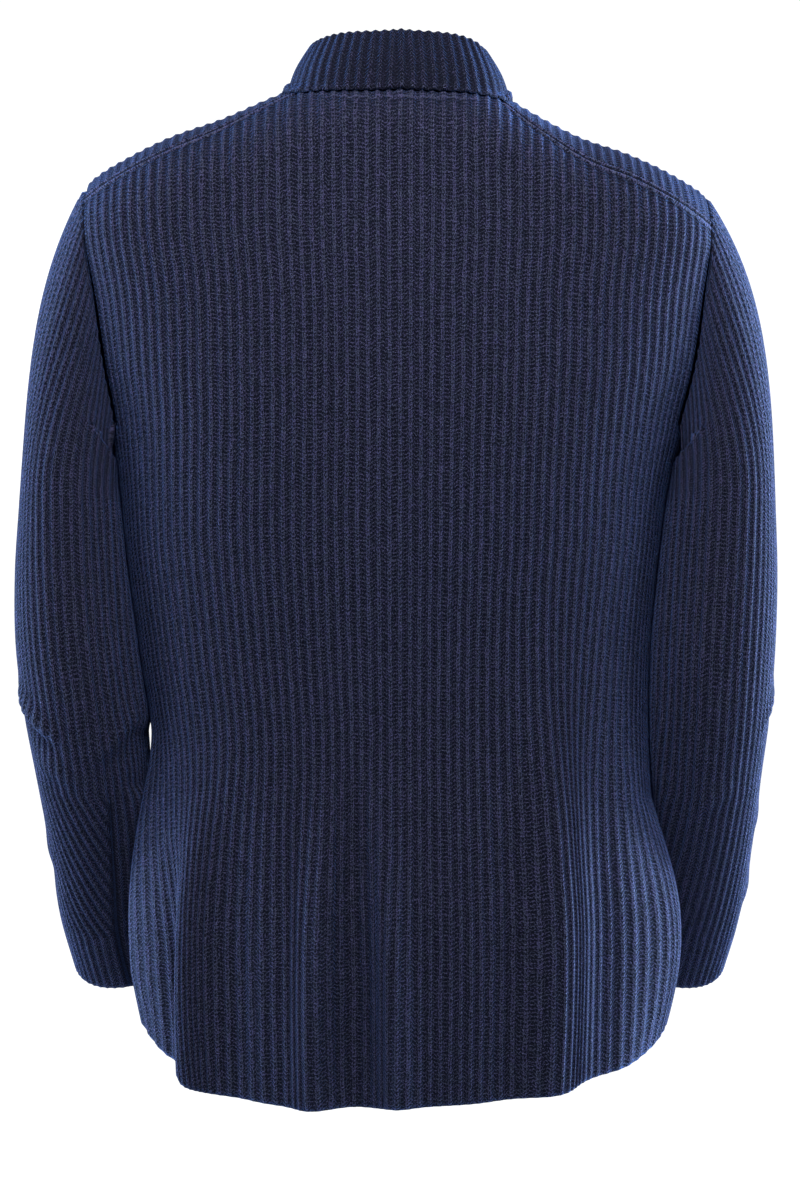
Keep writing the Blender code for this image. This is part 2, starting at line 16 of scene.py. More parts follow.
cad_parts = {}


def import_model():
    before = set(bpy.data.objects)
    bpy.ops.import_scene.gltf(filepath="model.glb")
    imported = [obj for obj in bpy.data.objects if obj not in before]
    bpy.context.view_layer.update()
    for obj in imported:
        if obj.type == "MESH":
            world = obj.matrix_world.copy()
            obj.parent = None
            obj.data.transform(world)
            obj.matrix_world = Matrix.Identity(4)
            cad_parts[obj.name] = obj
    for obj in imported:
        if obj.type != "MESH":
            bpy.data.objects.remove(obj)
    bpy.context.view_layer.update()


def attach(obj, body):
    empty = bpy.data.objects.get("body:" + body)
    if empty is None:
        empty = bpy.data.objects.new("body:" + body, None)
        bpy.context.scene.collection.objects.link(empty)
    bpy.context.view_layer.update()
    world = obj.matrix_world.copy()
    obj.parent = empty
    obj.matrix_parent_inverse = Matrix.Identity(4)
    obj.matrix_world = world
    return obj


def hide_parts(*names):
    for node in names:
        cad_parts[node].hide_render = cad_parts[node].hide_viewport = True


# ---- driving dimensions, in metres
WALL = 0.0020  # cloth between the ribs
RIB_RISE = 0.0016  # how far a rib stands above the cloth
SEAM_GAP = 0.0004
OVER = 0.0020  # parts a piece from the ribs that it lies on
REST_REACH = 0.05  # how far out the search begins for what a piece lies on
RIB_PITCH = 0.0074
STITCH = 0.0029  # height of one row of stitches
COLUMNS = 6  # columns of the mesh across a rib
RIB_SHARPNESS = 1.8  # 1 for a round wave; more makes narrow ridges in wide valleys
INNER_STEP = 3  # cells of the outer face along and across one cell of the inner face
EDGE_ROUND, EDGE_SHARE = 0.003, 0.45  # how near an edge cloth rounds over, and its share of height on it
FINE_STEPS = 400  # steps of a section that is read by its length

HALF_RIBS = 35
ARMHOLE_RIB = 31
NECK_RIB = 9.5
ROLL_RIB = 7.5
LAP_RIBS = 3
SIDE_CLEAR = 0.02  # ribs by which a panel stops short of the side seam
GATHERS_END = 2.0  # ribs over which the gathers fade before the side seam
CHEST_SET_IN = (-0.33, -0.12)  # heights between which the ribs take the chest's places
LAP_RISE = 0.0045
LAP_FADE = (0.030, 0.065)  # places across between which the lap's rise fades
UNDERARM_Z = -0.235
UNDERARM_DROP = 0.017
BACK_NECK_Z = 0.002
NECK_BEND = 0.8  # how the front's neck edge bends; 1 is straight
BOXY_X, BOXY_Y = 0.08, 0.25  # how far the body's section swells beyond an ellipse
LOW_ROWS, HIGH_ROWS = 126, 72  # rows of the body under the arms, and above
SEAM_ROWS, SEAM_ROWS_START = 12, 0.955  # of them, those close to the seam, and how far up they begin
SETTLING = 6  # rounds in which a place near the shoulder settles
SEAM_START_Z, UNDER_TOP = -0.04, 0.01  # where a seam's rounds begin, and how far under the top they read

# Lines beside the edges of the outer face: how far in the middle of each lies, and its half width.
CAST_ON = (0.0014, 0.0012)
# The next two are lines of painted shade along the armhole and the side seam.
ARMHOLE_SHADE_LINE = (0, 0.0016)
SIDE_SHADE_LINE = (0, 0.0012)
SHOULDER_WELTS = ((0.0022, 0.0012), (0.0066, 0.0012))  # of the back, along the shoulder seam
# Painted shade in the gaps between and under the shoulder's welts:
SHOULDER_GAP_SHADES = ((0.0044, 0.0014), (0.0100, 0.0018))
SHOULDER_PLAIN = (0.0075, 0.0110)  # how far in the ribs set in there
CHAIN_PLACE, CHAIN_WAVE = 0.0075, 0.0007  # a chain of stitches under the collar, and its waves
CHAIN_WIDTH, CHAIN_GAP = 0.0010, 0.0022
CHAIN_END = (6.5, 9.0)  # ribs between which it fades
FRONT_FLAT, FRONT_FLAT_REACH = 0.35, (0.030, 0.075)  # how much flatter its ribs are near the shoulder

ROLL_FOOT = (-0.022, -0.229)
ROLL_HEAD = (0.0580, -0.027)
ROLL_START_Z, ROLL_SETTLING = -0.1, 40  # where and in how many rounds the roll line is found
ROLL_STEPS = 8  # columns round the front's edge
LAPEL_RIBS = 8
LAPEL_ROWS = 66
LAPEL_LOW, LAPEL_BEND = 0.74, 1.15  # how far up the roll line the lower edge ends, and how it bends
LAPEL_HIGH, LAPEL_NOTCH = 0.975, 0.13  # where the upper edge starts up the line, and how far it falls
LAPEL_COVERED = 0.36  # share of the roll line up which the left front covers the right lapel

REST_GAP = 0.0006  # what parts a sleeve from the body where they touch
PRESS_REACH = 0.012  # a sleeve this near to the body is drawn to it
OPEN_SLIT = ((-0.512, -0.500), (-0.465, -0.450))  # the left sleeve stands off the body between these
SLEEVE_RIBS = 52
SLEEVE_BOXY_X, SLEEVE_BOXY_Y = 0.06, 0.10
SLEEVE_SEAM = {1: 0.200, -1: 0.060}  # where round each sleeve its seam runs, as a share of the way
MERGED_RIBS = {1: 9.0, -1: 3.5}  # ribs of each sleeve that end in its seam on the forearm
MERGED_SHADE = 0.8  # how much painted shade darkens the seam there
MERGE_TOP, MERGE_FOOT = -0.492, -0.600
SEAM_WIDTH = 0.0016
FOREARM_ROUND = 0.22  # how far it is round the sleeve there
SLEEVE_LEAVE = {1: 0.58, -1: 0.70}  # how far outward the left and the right sleeve leave the shoulder
UNDER_LEAVE = 0.12  # and both under the arm
HEAD_TOP = 0.15  # how wide the top of a sleeve's head is, as a share of the way round
HEAD_REACH = 0.36  # how long the head keeps its direction, as a share of its length
HEAD_ROWS = 60
ARM_ROWS = ((-0.290, 0), (-0.418, 36), (-0.486, 90), (-0.644, 138))  # heights, and the rows down to each
CREASE_START = 0.04  # how far along its course a crease begins
RIDGE_WIDTHS = (1.5, 0.9)  # of a crease, above and below, in its table's widths
GROOVE_SHARE, GROOVE = 0.4, (2.0, 1.3)  # its share of the rise, then its place below and half width

COLLAR_RIBS = 62
COLLAR_ROWS = 42
COLLAR_RISE, COLLAR_SHARPNESS = 0.75, 1.2  # its ribs' share of the rise, and their shape
COLLAR_SHADE = 0.36  # painted shade: how much darker the whole collar's colour is made
NECK_ROUNDS = 108  # rounds in which the neck's edge is smoothed
# The collar's section, from the neck up over the fold and down to the edge: how much of the fold's and of
# the edge's place is in each point, and how far out and up it lies from there.
COLLAR_SECTION = (
    (0.0, 0.0, -3 * SEAM_GAP, -0.001),
    (0.5, 0.0, -0.0025, 0.0),
    (1.0, 0.0, -0.0025, -0.0035),
    (1.0, 0.0, 0.0015, 0.0),
    (1.0, 0.0, 0.0050, -0.0035),
    (0.5, 0.5, 0.0040, 0.0),
    (0.0, 1.0, 0.0, 0.0),
)

BUTTON_RADIUS, BUTTON_THICKNESS = 0.0115, 0.0035
BUTTON_HEIGHTS = (-0.266, -0.382, -0.498)
BUTTON_LIFT = 0.0013  # how far its back stands off the cloth between the ribs
BUTTON_DISH = 0.62  # level of the middle of its face
# The rings of a button, as shares of its radius and thickness.
BUTTON_RINGS = ((0.92, 0.0), (1.0, 0.25), (1.0, 0.80), (0.96, 0.95), (0.90, 1.0), (0.83, 0.97), (0.76, 0.76),
                (0.66, 0.66), (0.30, BUTTON_DISH))
HOLE_RADIUS = 0.0011
HOLE_PLACE = 0.0019  # how far across and up from the middle a button's holes are
BUTTONHOLE = (-0.003, 0.022)  # the ends of a buttonhole, across the front
BUTTONHOLE_HALF = 0.0016  # half its height
STITCHED_RIM = (0.00085, 0.00018)  # the radius of its stitched rim, and how far it swells at each stitch
THREAD_RADIUS, THREAD_ARCH = 0.00055, 0.0010
YARN_SIDES = 10

# The camera stands behind the wearer, a little under chest height, and looks slightly down.
CAMERA_Y, CAMERA_Z = 2.600, -0.2906
CAMERA_DIP = math.radians(1.658)
LENS = 104.5  # millimetres, on a frame 36 mm high
FLOOR_Z, FLOOR_HALF = -1.30, 6.0
FLOOR_NEAR, FLOOR_DEEP, FLOOR_CURVE = 4.5, 4.9, 1.2  # how far it runs each way, and how it turns up
WALL_TOP = 3.5

# The lamps: where each stands, its power in watts, its size and its colour. Two skim the back from the
# sides, two light the edges from beyond it, and a soft one hangs high over the back.
LAMPS = (
    ("skim_left", (2.0, 0.10, -0.66), 31, 0.8, (0.62, 0.80, 1.0)),
    ("skim_right", (-2.0, 0.10, -0.66), 33, 0.8, (0.62, 0.80, 1.0)),
    ("edge_left", (1.9, -0.62, -0.35), 80, 0.6, (0.64, 0.83, 1.0)),
    ("edge_right", (-1.9, -0.76, -0.30), 205, 0.7, (0.64, 0.83, 1.0)),
    ("top", (0.0, 1.04, 0.66), 19, 0.7, (1.0, 0.96, 0.93)),
)
LAMPS_AIM = (0, 0, -0.35)
WORLD_LIGHT = 0.07
BACKDROP = (0.30, 0.30, 0.30)
GLOW = (-2.6, 0.2, 0.92, 0.09)  # of the backdrop: its two places in depth, and how strong it is at each

YARN = ((0.068, 0.079, 0.152), (0.082, 0.082, 0.196))  # the two blues that it wanders between
FLECK = (0.135, 0.150, 0.270)
# Painted shade: the dark colour that the valleys, the gaps between stitches, the seams and the collar are
# darkened towards.
PAINTED_SHADE = (0.003, 0.004, 0.011)
HORN = (0.008, 0.008, 0.013)
THREAD = (0.010, 0.012, 0.030)
KNIT_SHADER = {
    "Roughness": 0.95,
    "Specular IOR Level": 0.12,
    "Sheen Weight": 0.35,
    "Sheen Roughness": 0.30,
    "Sheen Tint": (0.16, 0.34, 1.0, 1),
}
KNIT_BUMP = (0.85, 0.0008)  # strength and distance
STITCH_BEND = 4.5  # how far a row of stitches drops in a valley
GRAIN_RELIEF = 1.6
# The painted shade in the gaps between stitches: place from the valley's middle, half width, shift down,
# number to a rib, and strength.
HOLE_SHADES = ((0.5, 0.11, 0.2, 1.0, 0.85), (0.25, 0.09, 0.5, 2.0, 1.0), (0.0, 0.16, 0.0, 1.0, 1.0))

BODY = {
    "z": (-0.730, -0.660, -0.600, -0.540, -0.470, -0.400, -0.330,
          -0.280, -0.235, -0.190, -0.150, -0.100, -0.050, 0.030),
    "left": (0.182, 0.185, 0.186, 0.184, 0.181, 0.191, 0.200,
             0.205, 0.213, 0.226, 0.236, 0.247, 0.249, 0.249),
    "right": (0.186, 0.189, 0.190, 0.186, 0.182, 0.183, 0.189,
              0.196, 0.209, 0.225, 0.235, 0.244, 0.243, 0.243),
    "back": (0.129, 0.131, 0.127, 0.116, 0.106, 0.107, 0.116,
             0.122, 0.125, 0.126, 0.125, 0.121, 0.115, 0.108),
    "front": (0.124, 0.124, 0.122, 0.119, 0.117, 0.118, 0.121,
              0.122, 0.121, 0.117, 0.111, 0.100, 0.086, 0.066),
}

SHOULDER = {
    "x": (0.000, 0.060, 0.090, 0.130, 0.170, 0.200, 0.220, 0.235, 0.250),
    "left": (0.027, 0.017, 0.006, -0.011, -0.025, -0.0395, -0.051, -0.063, -0.080),
    "right": (0.027, 0.015, -0.003, -0.024, -0.038, -0.052, -0.064, -0.076, -0.092),
    "radius": (0.054, 0.056, 0.058, 0.058, 0.056, 0.052, 0.050, 0.048, 0.046),
    "seam_left": (0.44, 0.46, 0.52, 0.62, 0.70, 0.72, 0.73, 0.74, 0.75),
    "seam_right": (0.46, 0.54, 0.68, 0.82, 0.88, 0.94, 0.97, 0.99, 1.00),
}

HEM = {
    "rib": (0, 10, 19, 25, 28, 31, 33, 35),
    "back_left": (-0.7230, -0.7240, -0.717, -0.711, -0.704, -0.692, -0.680, -0.666),
    "back_right": (-0.7230, -0.7190, -0.710, -0.701, -0.691, -0.680, -0.672, -0.667),
    "front": (-0.702, -0.702, -0.702, -0.699, -0.693, -0.682, -0.674, -0.667),
}

# The folds, from the top of each to its bottom, counted in ribs from the centre back, the wearer's left
# positive. The largest ones are in the solids too.
FOLDS = (
    # top_rib, bottom_rib, top_z, bottom_z, width, rise
    (7.0, 10.0, -0.47, -0.82, 2.0, 0.012),
    (2.6, -0.8, -0.47, -0.82, 1.9, 0.01),
    (5.2, 4.6, -0.47, -0.82, 2.4, -0.012),
    (21.6, 22.6, -0.5, -0.8, 2.0, 0.012),
    (17.0, 17.0, -0.5, -0.82, 2.2, -0.005),
    (31.0, 32.0, -0.46, -0.74, 3.0, 0.014),
    (-21.5, -21.0, -0.44, -0.82, 2.6, -0.007),
    (-31.0, -30.0, -0.51, -0.71, 3.6, 0.018),
    (-16.5, -15.5, -0.44, -0.82, 2.3, 0.009),
    (46.0, 48.0, -0.44, -0.82, 4.0, 0.005),
    (60.0, 57.0, -0.42, -0.82, 4.0, 0.005),
    (-48.0, -47.0, -0.46, -0.82, 4.2, 0.005),
    (-58.0, -59.0, -0.4, -0.82, 4.0, 0.005),
    (35.0, 35.0, -0.64, -0.8, 6.5, -0.006),
    (24.8, 26.2, -0.54, -0.76, 1.7, -0.009),
    (-11.5, -10.5, -0.46, -0.82, 2.2, -0.005),
)

# Where the ribs of the lower body draw together, as the folds pull them: the rib in the middle of each
# place, how many ribs it reaches to the centre and to the side, how strongly, and between which heights
# it sets in.
GATHERS = (
    # rib, reach, reach_out, pull, from_z, to_z
    (20.8, 4.0, 10.0, 0.62, -0.44, -0.62),
    (10.5, 2.2, 2.2, 0.45, -0.5, -0.62),
    (2.0, 2.2, 2.2, 0.42, -0.52, -0.64),
    (-18.0, 4.5, 4.5, 0.55, -0.34, -0.54),
    (-30.0, 3.5, 3.5, 0.4, -0.44, -0.58),
)

# The sleeves under their heads. outer and inner are the plain face's places at each height.
SLEEVE = {
    "z": (-0.644, -0.600, -0.545, -0.490, -0.445, -0.400, -0.345, -0.290),
    "outer_left": (0.2450, 0.2552, 0.2610, 0.2690, 0.2762, 0.2815, 0.2825, 0.2790),
    "outer_right": (0.2444, 0.2552, 0.2625, 0.2670, 0.2718, 0.2750, 0.2768, 0.2753),
    "inner_left": (0.1895, 0.1950, 0.1935, 0.1905, 0.1930, 0.1995, 0.2065, 0.2125),
    "inner_right": (0.1900, 0.1960, 0.1950, 0.1910, 0.1905, 0.1915, 0.1965, 0.2030),
    "y": (-0.069, -0.053, -0.032, -0.010, 0.003, 0.006, 0.002, 0.000),
    "depth": (0.0395, 0.0450, 0.0500, 0.0550, 0.0590, 0.0615, 0.0630, 0.0640),
    "slope": (0.38, 0.38, 0.37, 0.28, 0.16, 0.04, 0.00, 0.00),
}

# The creases of the sleeves, side 1 the left. Each runs from a share of the way round (0 at the body, 0.25
# behind, 0.5 outside) and a height to another, as a ridge with a groove under it.
CREASES = (
    # side, from_share, to_share, from_z, to_z, width, rise
    (1, 0.448, 0.29, -0.428, -0.466, 0.0056, 0.0052),
    (1, 0.4, 0.24, -0.478, -0.5, 0.007, 0.0018),
    (1, 0.5, 0.36, -0.545, -0.56, 0.009, 0.0016),
    (1, 0.1, 0.24, -0.45, -0.48, 0.008, 0.0025),
    (-1, 0.5, 0.38, -0.425, -0.456, 0.0055, 0.0022),
    (-1, 0.3, 0.22, -0.5, -0.515, 0.007, 0.0016),
    (-1, 0.5, 0.4, -0.575, -0.59, 0.008, 0.0018),
    (1, 0.62, 0.8, -0.44, -0.45, 0.009, 0.003),
    (-1, 0.9, 0.72, -0.43, -0.455, 0.009, 0.003),
    (-1, 0.52, 0.42, -0.52, -0.532, 0.008, 0.0014),
)

COLLAR = {
    "share": (0.00, 0.25, 0.50, 0.70, 0.85, 1.00),
    "fold_out": (-0.0175, -0.0160, -0.0120, -0.0070, -0.0040, -0.0020),
    "fold_up": (0.0440, 0.0410, 0.0290, 0.0200, 0.0130, 0.0085),
    "edge_out": (0.0050, 0.0060, 0.0085, 0.0180, 0.0310, 0.0440),
    "edge_up": (0.0010, -0.0010, -0.0065, -0.0100, -0.0150, -0.0200),
}


def smooth_curve(keys, values, at):
    """The values at places along their keys, between which they run on a smooth curve."""
    slopes = np.gradient(values, keys, axis=0)
    at = np.clip(np.asarray(at, float), keys[0], keys[-1])
    i = np.clip(np.searchsorted(keys, at) - 1, 0, len(keys) - 2)
    shape = i.shape + (1,) * (values.ndim - 1)
    span = (keys[i + 1] - keys[i]).reshape(shape)
    t = (at - keys[i]).reshape(shape) / span
    start, end = values[i], values[i + 1]
    lean = (1 - t) * slopes[i] - t * slopes[i + 1]
    chord = (end - start) / span * (1 - 2 * t)
    return start + (end - start) * t + span * t * (1 - t) * (lean - chord)


def table(columns, name, at):
    """One column of a table, read at the given places along its first column."""
    keys = np.asarray(next(iter(columns.values())), float)
    return smooth_curve(keys, np.asarray(columns[name], float), at)


def smooth(x, low, high):
    """0 before low, 1 after high, and a soft step between them."""
    t = np.clip((np.asarray(x, float) - low) / (high - low), 0, 1)
    return t * t * (3 - 2 * t)


def unit(vectors):
    return vectors / np.linalg.norm(vectors, axis=-1, keepdims=True)


# ---- the form of the body
def section(turn):
    """A section's shape: how far across and how deep a place lies, as shares of its half width and depth."""
    across = np.sin(turn) * (1 + BOXY_X * np.cos(turn) ** 2)
    deep = np.cos(turn) * (1 + BOXY_Y * np.sin(turn) ** 2)
    return across, deep


def line_at(distance, middle, width):
    """How strongly a narrow line shows at a distance from an edge: 1 on its middle, fading to both sides."""
    return np.exp(-(((distance - middle) / width) ** 2))


def run_of(points):
    """How far along a line of points each of them lies."""
    return np.concatenate([[0], np.cumsum(np.linalg.norm(np.diff(points, axis=0), axis=1))])


def points_at(points, run, places):
    """The points at given distances along a line of points."""
    return np.stack([np.interp(places, run, column) for column in points.T], -1)


def even_turns(half_width, depth, end_turn):
    """The turns from the centre to end_turn, and the share of the way round at which each lies."""
    turn = np.linspace(0, end_turn, FINE_STEPS)
    across, deep = section(turn)
    length = np.hypot(np.diff(half_width * across), np.diff(depth * deep))
    length = np.concatenate([[0], np.cumsum(length)])
    return turn, length / length[-1]


ARMHOLE_TURN = math.radians(65)
WAIST_TURNS = even_turns(0.196, 0.116, math.pi / 2)
CHEST_TURNS = even_turns(0.248, 0.122, ARMHOLE_TURN)


def rib_turn(rib, z):
    """Where a rib lies round the body: 0 at the centre, a quarter turn at the side."""
    rib = np.abs(rib)
    low = np.interp(rib / HALF_RIBS, WAIST_TURNS[1], WAIST_TURNS[0])
    past = np.clip((rib - ARMHOLE_RIB) / (HALF_RIBS - ARMHOLE_RIB), 0, 1)
    high = np.interp(rib / ARMHOLE_RIB, CHEST_TURNS[1], CHEST_TURNS[0]) + past * (math.pi / 2 - ARMHOLE_TURN)
    return low + (high - low) * smooth(z, *CHEST_SET_IN)


def by_side(columns, x, at, name=""):
    """The left or the right column of a table, for places on either side."""
    return np.where(x >= 0, table(columns, name + "left", at), table(columns, name + "right", at))


def wall_point(rib, z, face):
    """A point of the form, before the cloth rounds over the shoulder. face is back or front."""
    across, deep = section(rib_turn(rib, z))
    side = np.where(np.asarray(rib) < 0, -1.0, 1.0)
    return side * by_side(BODY, side, z) * across, table(BODY, face, z) * deep


def depth_at(x, z, face):
    """The form's depth at a place that is found by x and not by its rib."""
    across, deep = section(np.linspace(0, math.pi / 2, FINE_STEPS))
    return table(BODY, face, z) * np.interp(np.abs(x) / by_side(BODY, x, z), across, deep)


def shoulder_at(x):
    """The radius of the shoulder's round and the height of its top, at a place across."""
    return table(SHOULDER, "radius", np.abs(x)), by_side(SHOULDER, x, np.abs(x))


def over_shoulder(x, h):
    """The height of a place h up its rib, and the turn that is left there to the shoulder's top."""
    radius, top = shoulder_at(x)
    spring = top - radius
    turn = math.pi / 2 - np.clip((h - spring) / radius, 0, math.pi)
    return np.where(h > spring, top - radius * (1 - np.cos(turn)), h), turn


def body_point(rib, h, face):
    """A point of the inner face. h runs up a rib: it is the height, then it goes on round the shoulder."""
    rib, h = np.broadcast_arrays(np.asarray(rib, float), np.asarray(h, float))
    z = h
    for _ in range(SETTLING):
        x, y = wall_point(rib, z, face)
        z, turn = over_shoulder(x, h)
    y = np.where(turn >= 0, y, depth_at(x, z, "back")) * np.sin(turn)
    return np.stack([x, y if face == "back" else -y, z], -1)


def seam_h(rib, face):
    """How far up its rib a piece ends at the shoulder seam, which lies behind the shoulder's top."""
    z = np.full(np.shape(rib), SEAM_START_Z)
    for _ in range(SETTLING):
        x, _ = wall_point(rib, z, face)
        z = by_side(SHOULDER, x, np.abs(x)) - UNDER_TOP
    radius, top = shoulder_at(x)
    behind = by_side(SHOULDER, x, np.abs(x), "seam_") * (1 if face == "front" else -1)
    return top - radius + radius * (math.pi / 2 + behind)


def fold_rise(rib, z, face):
    """How far the folds lift the cloth at a place."""
    round_rib = rib if face == "back" else np.where(rib < 0, -1, 1) * (2 * HALF_RIBS - np.abs(rib))
    total = np.zeros(np.broadcast(rib, z).shape)
    for top_rib, bottom_rib, top_z, bottom_z, width, rise in FOLDS:
        down = np.clip((top_z - z) / (top_z - bottom_z), 0, 1)
        centre = top_rib + (bottom_rib - top_rib) * down
        total = total + rise * np.sin(math.pi * down) * line_at(round_rib, centre, width)
    return total


def lap_rise(x):
    """How far the left front is lifted where it lies over the right one."""
    return LAP_RISE * (1 - smooth(x, *LAP_FADE))


def gathered(rib, z, face):
    """The place of a rib, once the folds have drawn it towards them."""
    if face == "front":
        return rib
    shift = np.zeros(np.broadcast(rib, z).shape)
    for middle, inward, outward, pull, from_z, to_z in GATHERS:
        reach = np.where((rib - middle) * middle > 0, outward, inward)
        away = (rib - middle) / reach
        shift = shift - pull * reach * away * np.exp(-(away**2)) * smooth(-z, -from_z, -to_z)
    return rib + shift * (1 - smooth(np.abs(rib), HALF_RIBS - GATHERS_END, HALF_RIBS))


def cloth_point(rib, h, face):
    """The inner face with its folds, and its outward normal."""
    rib = gathered(rib, h, face)
    d_rib, d_h = 0.05, 0.0004
    place = body_point(rib, h, face)
    along = body_point(rib + d_rib, h, face) - body_point(rib - d_rib, h, face)
    up = body_point(rib, h + d_h, face) - body_point(rib, h - d_h, face)
    normal = unit(np.cross(up, along) if face == "back" else np.cross(along, up))
    rise = fold_rise(rib, place[..., 2], face)
    return place + normal * rise[..., None], normal


def h_of(x, z):
    """How far up its rib a place lies, from its height."""
    radius, top = shoulder_at(x)
    turn = np.arccos(np.clip(1 - (top - z) / radius, -1, 1))
    return np.where(z > top - radius, top - radius + radius * (math.pi / 2 - turn), z)


def roll_h(ribs, side):
    """How far up its rib a front goes where it ends at the roll line."""
    z = np.full(np.shape(ribs), ROLL_START_Z)
    for _ in range(ROLL_SETTLING):
        x, _ = wall_point(side * ribs, z, "front")
        share = np.clip((side * x - ROLL_FOOT[0]) / (ROLL_HEAD[0] - ROLL_FOOT[0]), 0, 1)
        z = 0.5 * z + 0.5 * (ROLL_FOOT[1] + (ROLL_HEAD[1] - ROLL_FOOT[1]) * share)
    return h_of(x, z)


def neck_h(ribs, face, side):
    """How far up its rib a piece ends at the neck: a round edge behind, and before, one that meets the roll
    line."""
    corner = seam_h(side * np.where(ribs < 0, -NECK_RIB, NECK_RIB), face)
    if face == "back":
        middle = h_of(0, BACK_NECK_Z)
        return corner + (middle - corner) * np.sqrt(1 - np.clip(np.abs(ribs) / NECK_RIB, 0, 1) ** 2)
    head = roll_h(np.array([ROLL_RIB]), side)
    share = np.clip((ribs - ROLL_RIB) / (NECK_RIB - ROLL_RIB), 0, 1)
    return np.where(ribs <= ROLL_RIB, roll_h(ribs, side), head + (corner - head) * share**NECK_BEND)


# ---- knitted shells
def rib_height(u, sharpness=RIB_SHARPNESS):
    """The section of the ribs, from 0 in a valley to 1 on a ridge; ridges lie at whole numbers of u."""
    return (0.5 + 0.5 * np.cos(2 * math.pi * u)) ** sharpness


def new_mesh(name, points, faces):
    data = bpy.data.meshes.new(name)
    data.from_pydata(points, [], faces)
    return data


def add_object(name, data):
    made = bpy.data.objects.new(name, data)
    bpy.context.scene.collection.objects.link(made)
    return made


def knit_shell(name, plain, normal, height, u, v, present=None, wrap=False, trim=(0, 0)):
    """A closed shell. plain is the grid of its inner face, [rows, columns, 3]; the outer face is moved out by
    height. u counts ribs and v rows of stitches, for the material, and trim says where a welt runs and how
    much painted shade darkens the cloth, such as along a seam. present says which of the inner face's cells
    are cloth. On a wrapped shell the grids have the first column again at their end."""
    rows, columns = plain.shape[:2]
    step = INNER_STEP
    ring = columns - 1 if wrap else columns
    outer = (plain + normal * height[..., None])[:, :ring].reshape(-1, 3)
    inner = plain[:, :ring].reshape(-1, 3)
    cell_rows, cell_columns = (rows - 1) // step, (columns - 1) // step
    if present is None:
        present = np.ones((cell_rows, cell_columns), bool)

    def quads(cells, stride, first, flip):
        """The faces over some cells of the grid, and the place on the grid of each of their corners."""
        r, c = (each * stride for each in np.nonzero(cells))
        corners = [(r, c), (r, c + stride), (r + stride, c + stride), (r + stride, c)]
        corners = corners[::-1] if flip else corners
        faces = np.stack([first + row * ring + column % ring for row, column in corners], 1)
        return faces.tolist(), np.stack([row * columns + column for row, column in corners], 1).ravel()

    wide = np.repeat(np.repeat(present, step, 0), step, 1)
    outer_faces, outer_places = quads(wide, 1, 0, False)
    inner_faces, inner_places = quads(present, step, len(outer), True)
    rims, rim_places = [], []

    def there(row, column):
        if wrap:
            column %= cell_columns
        return 0 <= row < cell_rows and 0 <= column < cell_columns and present[row, column]

    # The neighbour across each edge of a cell, and the points of that edge on the grid.
    edges = (
        (-1, 0, [(0, k) for k in range(step, -1, -1)]),
        (1, 0, [(step, k) for k in range(step + 1)]),
        (0, -1, [(k, 0) for k in range(step + 1)]),
        (0, 1, [(k, step) for k in range(step, -1, -1)]),
    )
    for row, column in zip(*np.nonzero(present)):
        for down, over, edge in edges:
            if there(row + down, column + over):
                continue
            path = [(row * step + r, column * step + c) for r, c in edge]
            path += [path[-1], path[0]]
            corners = [r * ring + c % ring for r, c in path]
            rims.append(corners[:-2] + [len(outer) + corner for corner in corners[-2:]])
            rim_places.extend(r * columns + c for r, c in path)

    faces = outer_faces + inner_faces + rims
    places = np.concatenate([outer_places, inner_places, rim_places]).astype(int)
    points = np.concatenate([outer, inner])
    used = np.zeros(len(points), bool)
    used[[corner for face in faces for corner in face]] = True
    renumber = np.cumsum(used) - 1
    data = new_mesh(name, points[used].tolist(), [renumber[face].tolist() for face in faces])
    for layer_name, pair in (("knit", (u, v)), ("trim", trim)):
        layer = data.uv_layers.new(name=layer_name)
        uv = np.stack([np.broadcast_to(each, (rows, columns)).ravel() for each in pair], -1)
        layer.data.foreach_set("uv", uv[places].astype(np.float32).ravel())
    return add_object(name, outward(data))


def grid_normals(grid, toward, wrap=False):
    """Normals of a grid, each on the side of the vector that is given for it."""
    if wrap:
        along = np.roll(grid, -1, axis=1) - np.roll(grid, 1, axis=1)
    else:
        along = np.gradient(grid, axis=1)
    normal = unit(np.cross(along, np.gradient(grid, axis=0)))
    flip = np.sign(np.sum(normal * toward, axis=-1, keepdims=True))
    return normal * np.where(flip == 0, 1, flip)


def outward(data):
    """A closed mesh, smooth and with its faces turned outward."""
    data.calc_loop_triangles()
    points = np.empty(len(data.vertices) * 3)
    data.vertices.foreach_get("co", points)
    triangles = np.empty(len(data.loop_triangles) * 3, int)
    data.loop_triangles.foreach_get("vertices", triangles)
    corners = points.reshape(-1, 3)[triangles.reshape(-1, 3)]
    if np.linalg.det(corners).sum() < 0:
        data.flip_normals()
    data.shade_smooth()
    return data


